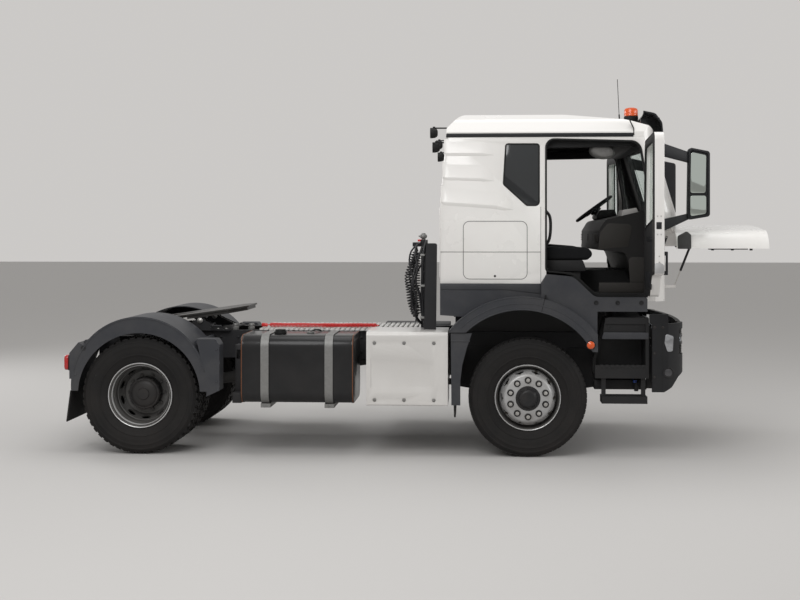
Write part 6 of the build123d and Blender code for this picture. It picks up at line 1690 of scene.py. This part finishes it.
# The hole in each fender is a thin dark disc on its face: painted shade for the depth of the hole.
hole_shade_discs = [turned("hole", [(0.0, 0.0), (0.021, 0.0), (0.024, 0.002), (0.024, -0.004), (0.0, -0.004)],
                     at(-4.122, -1.2505, 0.985), 28)]
fit_pair(joined("fender_hole_right", hole_shade_discs), "chassis", cab_inside, angle=40)
fender_bolts = [at(-2.87, -1.25, z) for z in (0.68, 0.98)] + [at(-4.2, -1.25, 0.74)]
rivets("fender_bolts_right", fender_bolts, 0.012, 0.005, (0, -1, 0), "chassis", wing_plastic)
twin(bpy.data.objects["fender_bolts_right"], "fender_bolts_left", "chassis")
band = arch_band("fender_band_right", 0.622, 0.634, -1.2545, -1.246, 12, 168, 60, at(-3.6, 0.0, 0.64))
fit_pair(band, "chassis", wing_plastic, edge=0.003)
stay = [block("stay", at(-2.752, -0.95, 0.5), at(-2.68, -0.8, 1.0)), block("stay", at(-2.76, -1.06, 0.462),
                                                                           at(-2.67, -0.62, 0.56)),
        block("stay", at(-2.745, -0.95, 0.86), at(-2.69, -0.38, 0.96))]
fit_pair(joined("fender_stay_right", stay), "chassis", frame_black, edge=0.006)
rust_line = finish_material("rust_line", (0.16, 0.055, 0.02), 0.8, shade=0.4, spots=30.0)
rings = []
for x0, x1 in ((TANK_X[0] + 0.007, TANK_X[0] + 0.014), (TANK_X[1] - 0.014, TANK_X[1] - 0.007)):
    ring = plate("ring", tank_outline(0.0005), x0, x1, look="X", steps=10)
    rings.append(cut(ring, plate("hollow", tank_outline(-0.005), x0 - 0.1, x1 + 0.1, look="X", steps=10)))
fit(joined("tank_rust_edges", rings), "chassis", rust_line)


# Line holder behind the cab: couplings with red caps on the bar, clips, and short pipes down the duct.
# The pipes are fixed along their length, in clips.
heads = []
caps = []
for y in (-0.56, -0.47):
    body = along(turned("coupling", [(0.0, 0.0), (0.018, 0.0), (0.018, 0.02), (0.03, 0.026), (0.034, 0.04),
                                     (0.03, 0.056), (0.018, 0.06), (0.018, 0.07), (0.0, 0.072)], NOWHERE, 24),
                 at(-0.985, y, 1.985), (0, 0, 1))
    heads.append(body)
    heads.append(block("tongue", at(-1.03, y - 0.012, 2.02), at(-0.98, y + 0.012, 2.034)))
    caps.append(bar("cap", at(-1.02, y, 1.975), at(-1.02, y, 1.995), 0.02, 20))
fit(joined("stowed_couplings", heads), "chassis", galvanised, edge=0.0015, angle=40)
fit(joined("stowed_caps", caps), "chassis", red_plastic, edge=0.003)
PIPE_R = 0.0085
pipes = []
for index in range(6):
    y = -0.885 + 0.024 * index
    x = -0.975 - 0.006 * (index % 2)
    route = [
        at(x + 0.02, y, 1.16), at(x, y - 0.004, 1.3), at(x - 0.012, y + 0.004, 1.5), at(x - 0.004, y - 0.003, 1.7),
        at(x + 0.004, y, 1.86), at(x + 0.02, y + 0.02, 1.95), at(x + 0.03, y + 0.06, 1.975)]
    pipes.append(rod("duct_pipe", route, PIPE_R, 4))
fit(joined("duct_pipes", pipes), "chassis", line_plastic, angle=70)
loops = (((-0.99, -0.6, 1.97), (-1.08, -0.72, 1.93), (-1.12, -0.8, 1.8), (-1.07, -0.84, 1.62), (-1.0, -0.86, 1.5),
          (-0.99, -0.87, 1.38)), ((-0.985, -0.5, 1.97), (-1.04, -0.66, 1.96), (-1.06, -0.82, 1.88),
                                  (-1.02, -0.88, 1.74), (-1.05, -0.9, 1.6), (-1.0, -0.89, 1.46), (-0.99, -0.88, 1.3)),
         ((-0.985, -0.55, 1.96), (-1.0, -0.75, 1.9), (-1.04, -0.88, 1.76), (-1.1, -0.88, 1.5), (-1.06, -0.86, 1.3),
          (-1.0, -0.78, 1.2), (-0.985, -0.62, 1.19)), ((-0.98, -0.78, 1.78), (-1.03, -0.9, 1.7), (-1.08, -0.92, 1.56),
                                                       (-1.02, -0.92, 1.42), (-1.06, -0.9, 1.28), (-1.0, -0.8, 1.19),
                                                       (-0.985, -0.7, 1.19)))
hoses = [rod("loop", [at(*point) for point in points], PIPE_R, 4) for points in loops]
fit(joined("holder_pipes", hoses), "chassis", line_plastic, angle=70)
clips = [block("clip", at(-1.0, -0.9, z), at(-0.958, -0.745, z + 0.02)) for z in (1.25, 1.55, 1.84)]
fit(joined("duct_clips", clips), "chassis", galvanised, edge=0.003)
mud_beads = [plate("bead", oblong(-0.706, 1.06, -0.53, 1.075, 0), -1.241, -1.23)]
fit_pair(joined("mudguard_bead_right", mud_beads), "chassis", wing_plastic, edge=0.004)
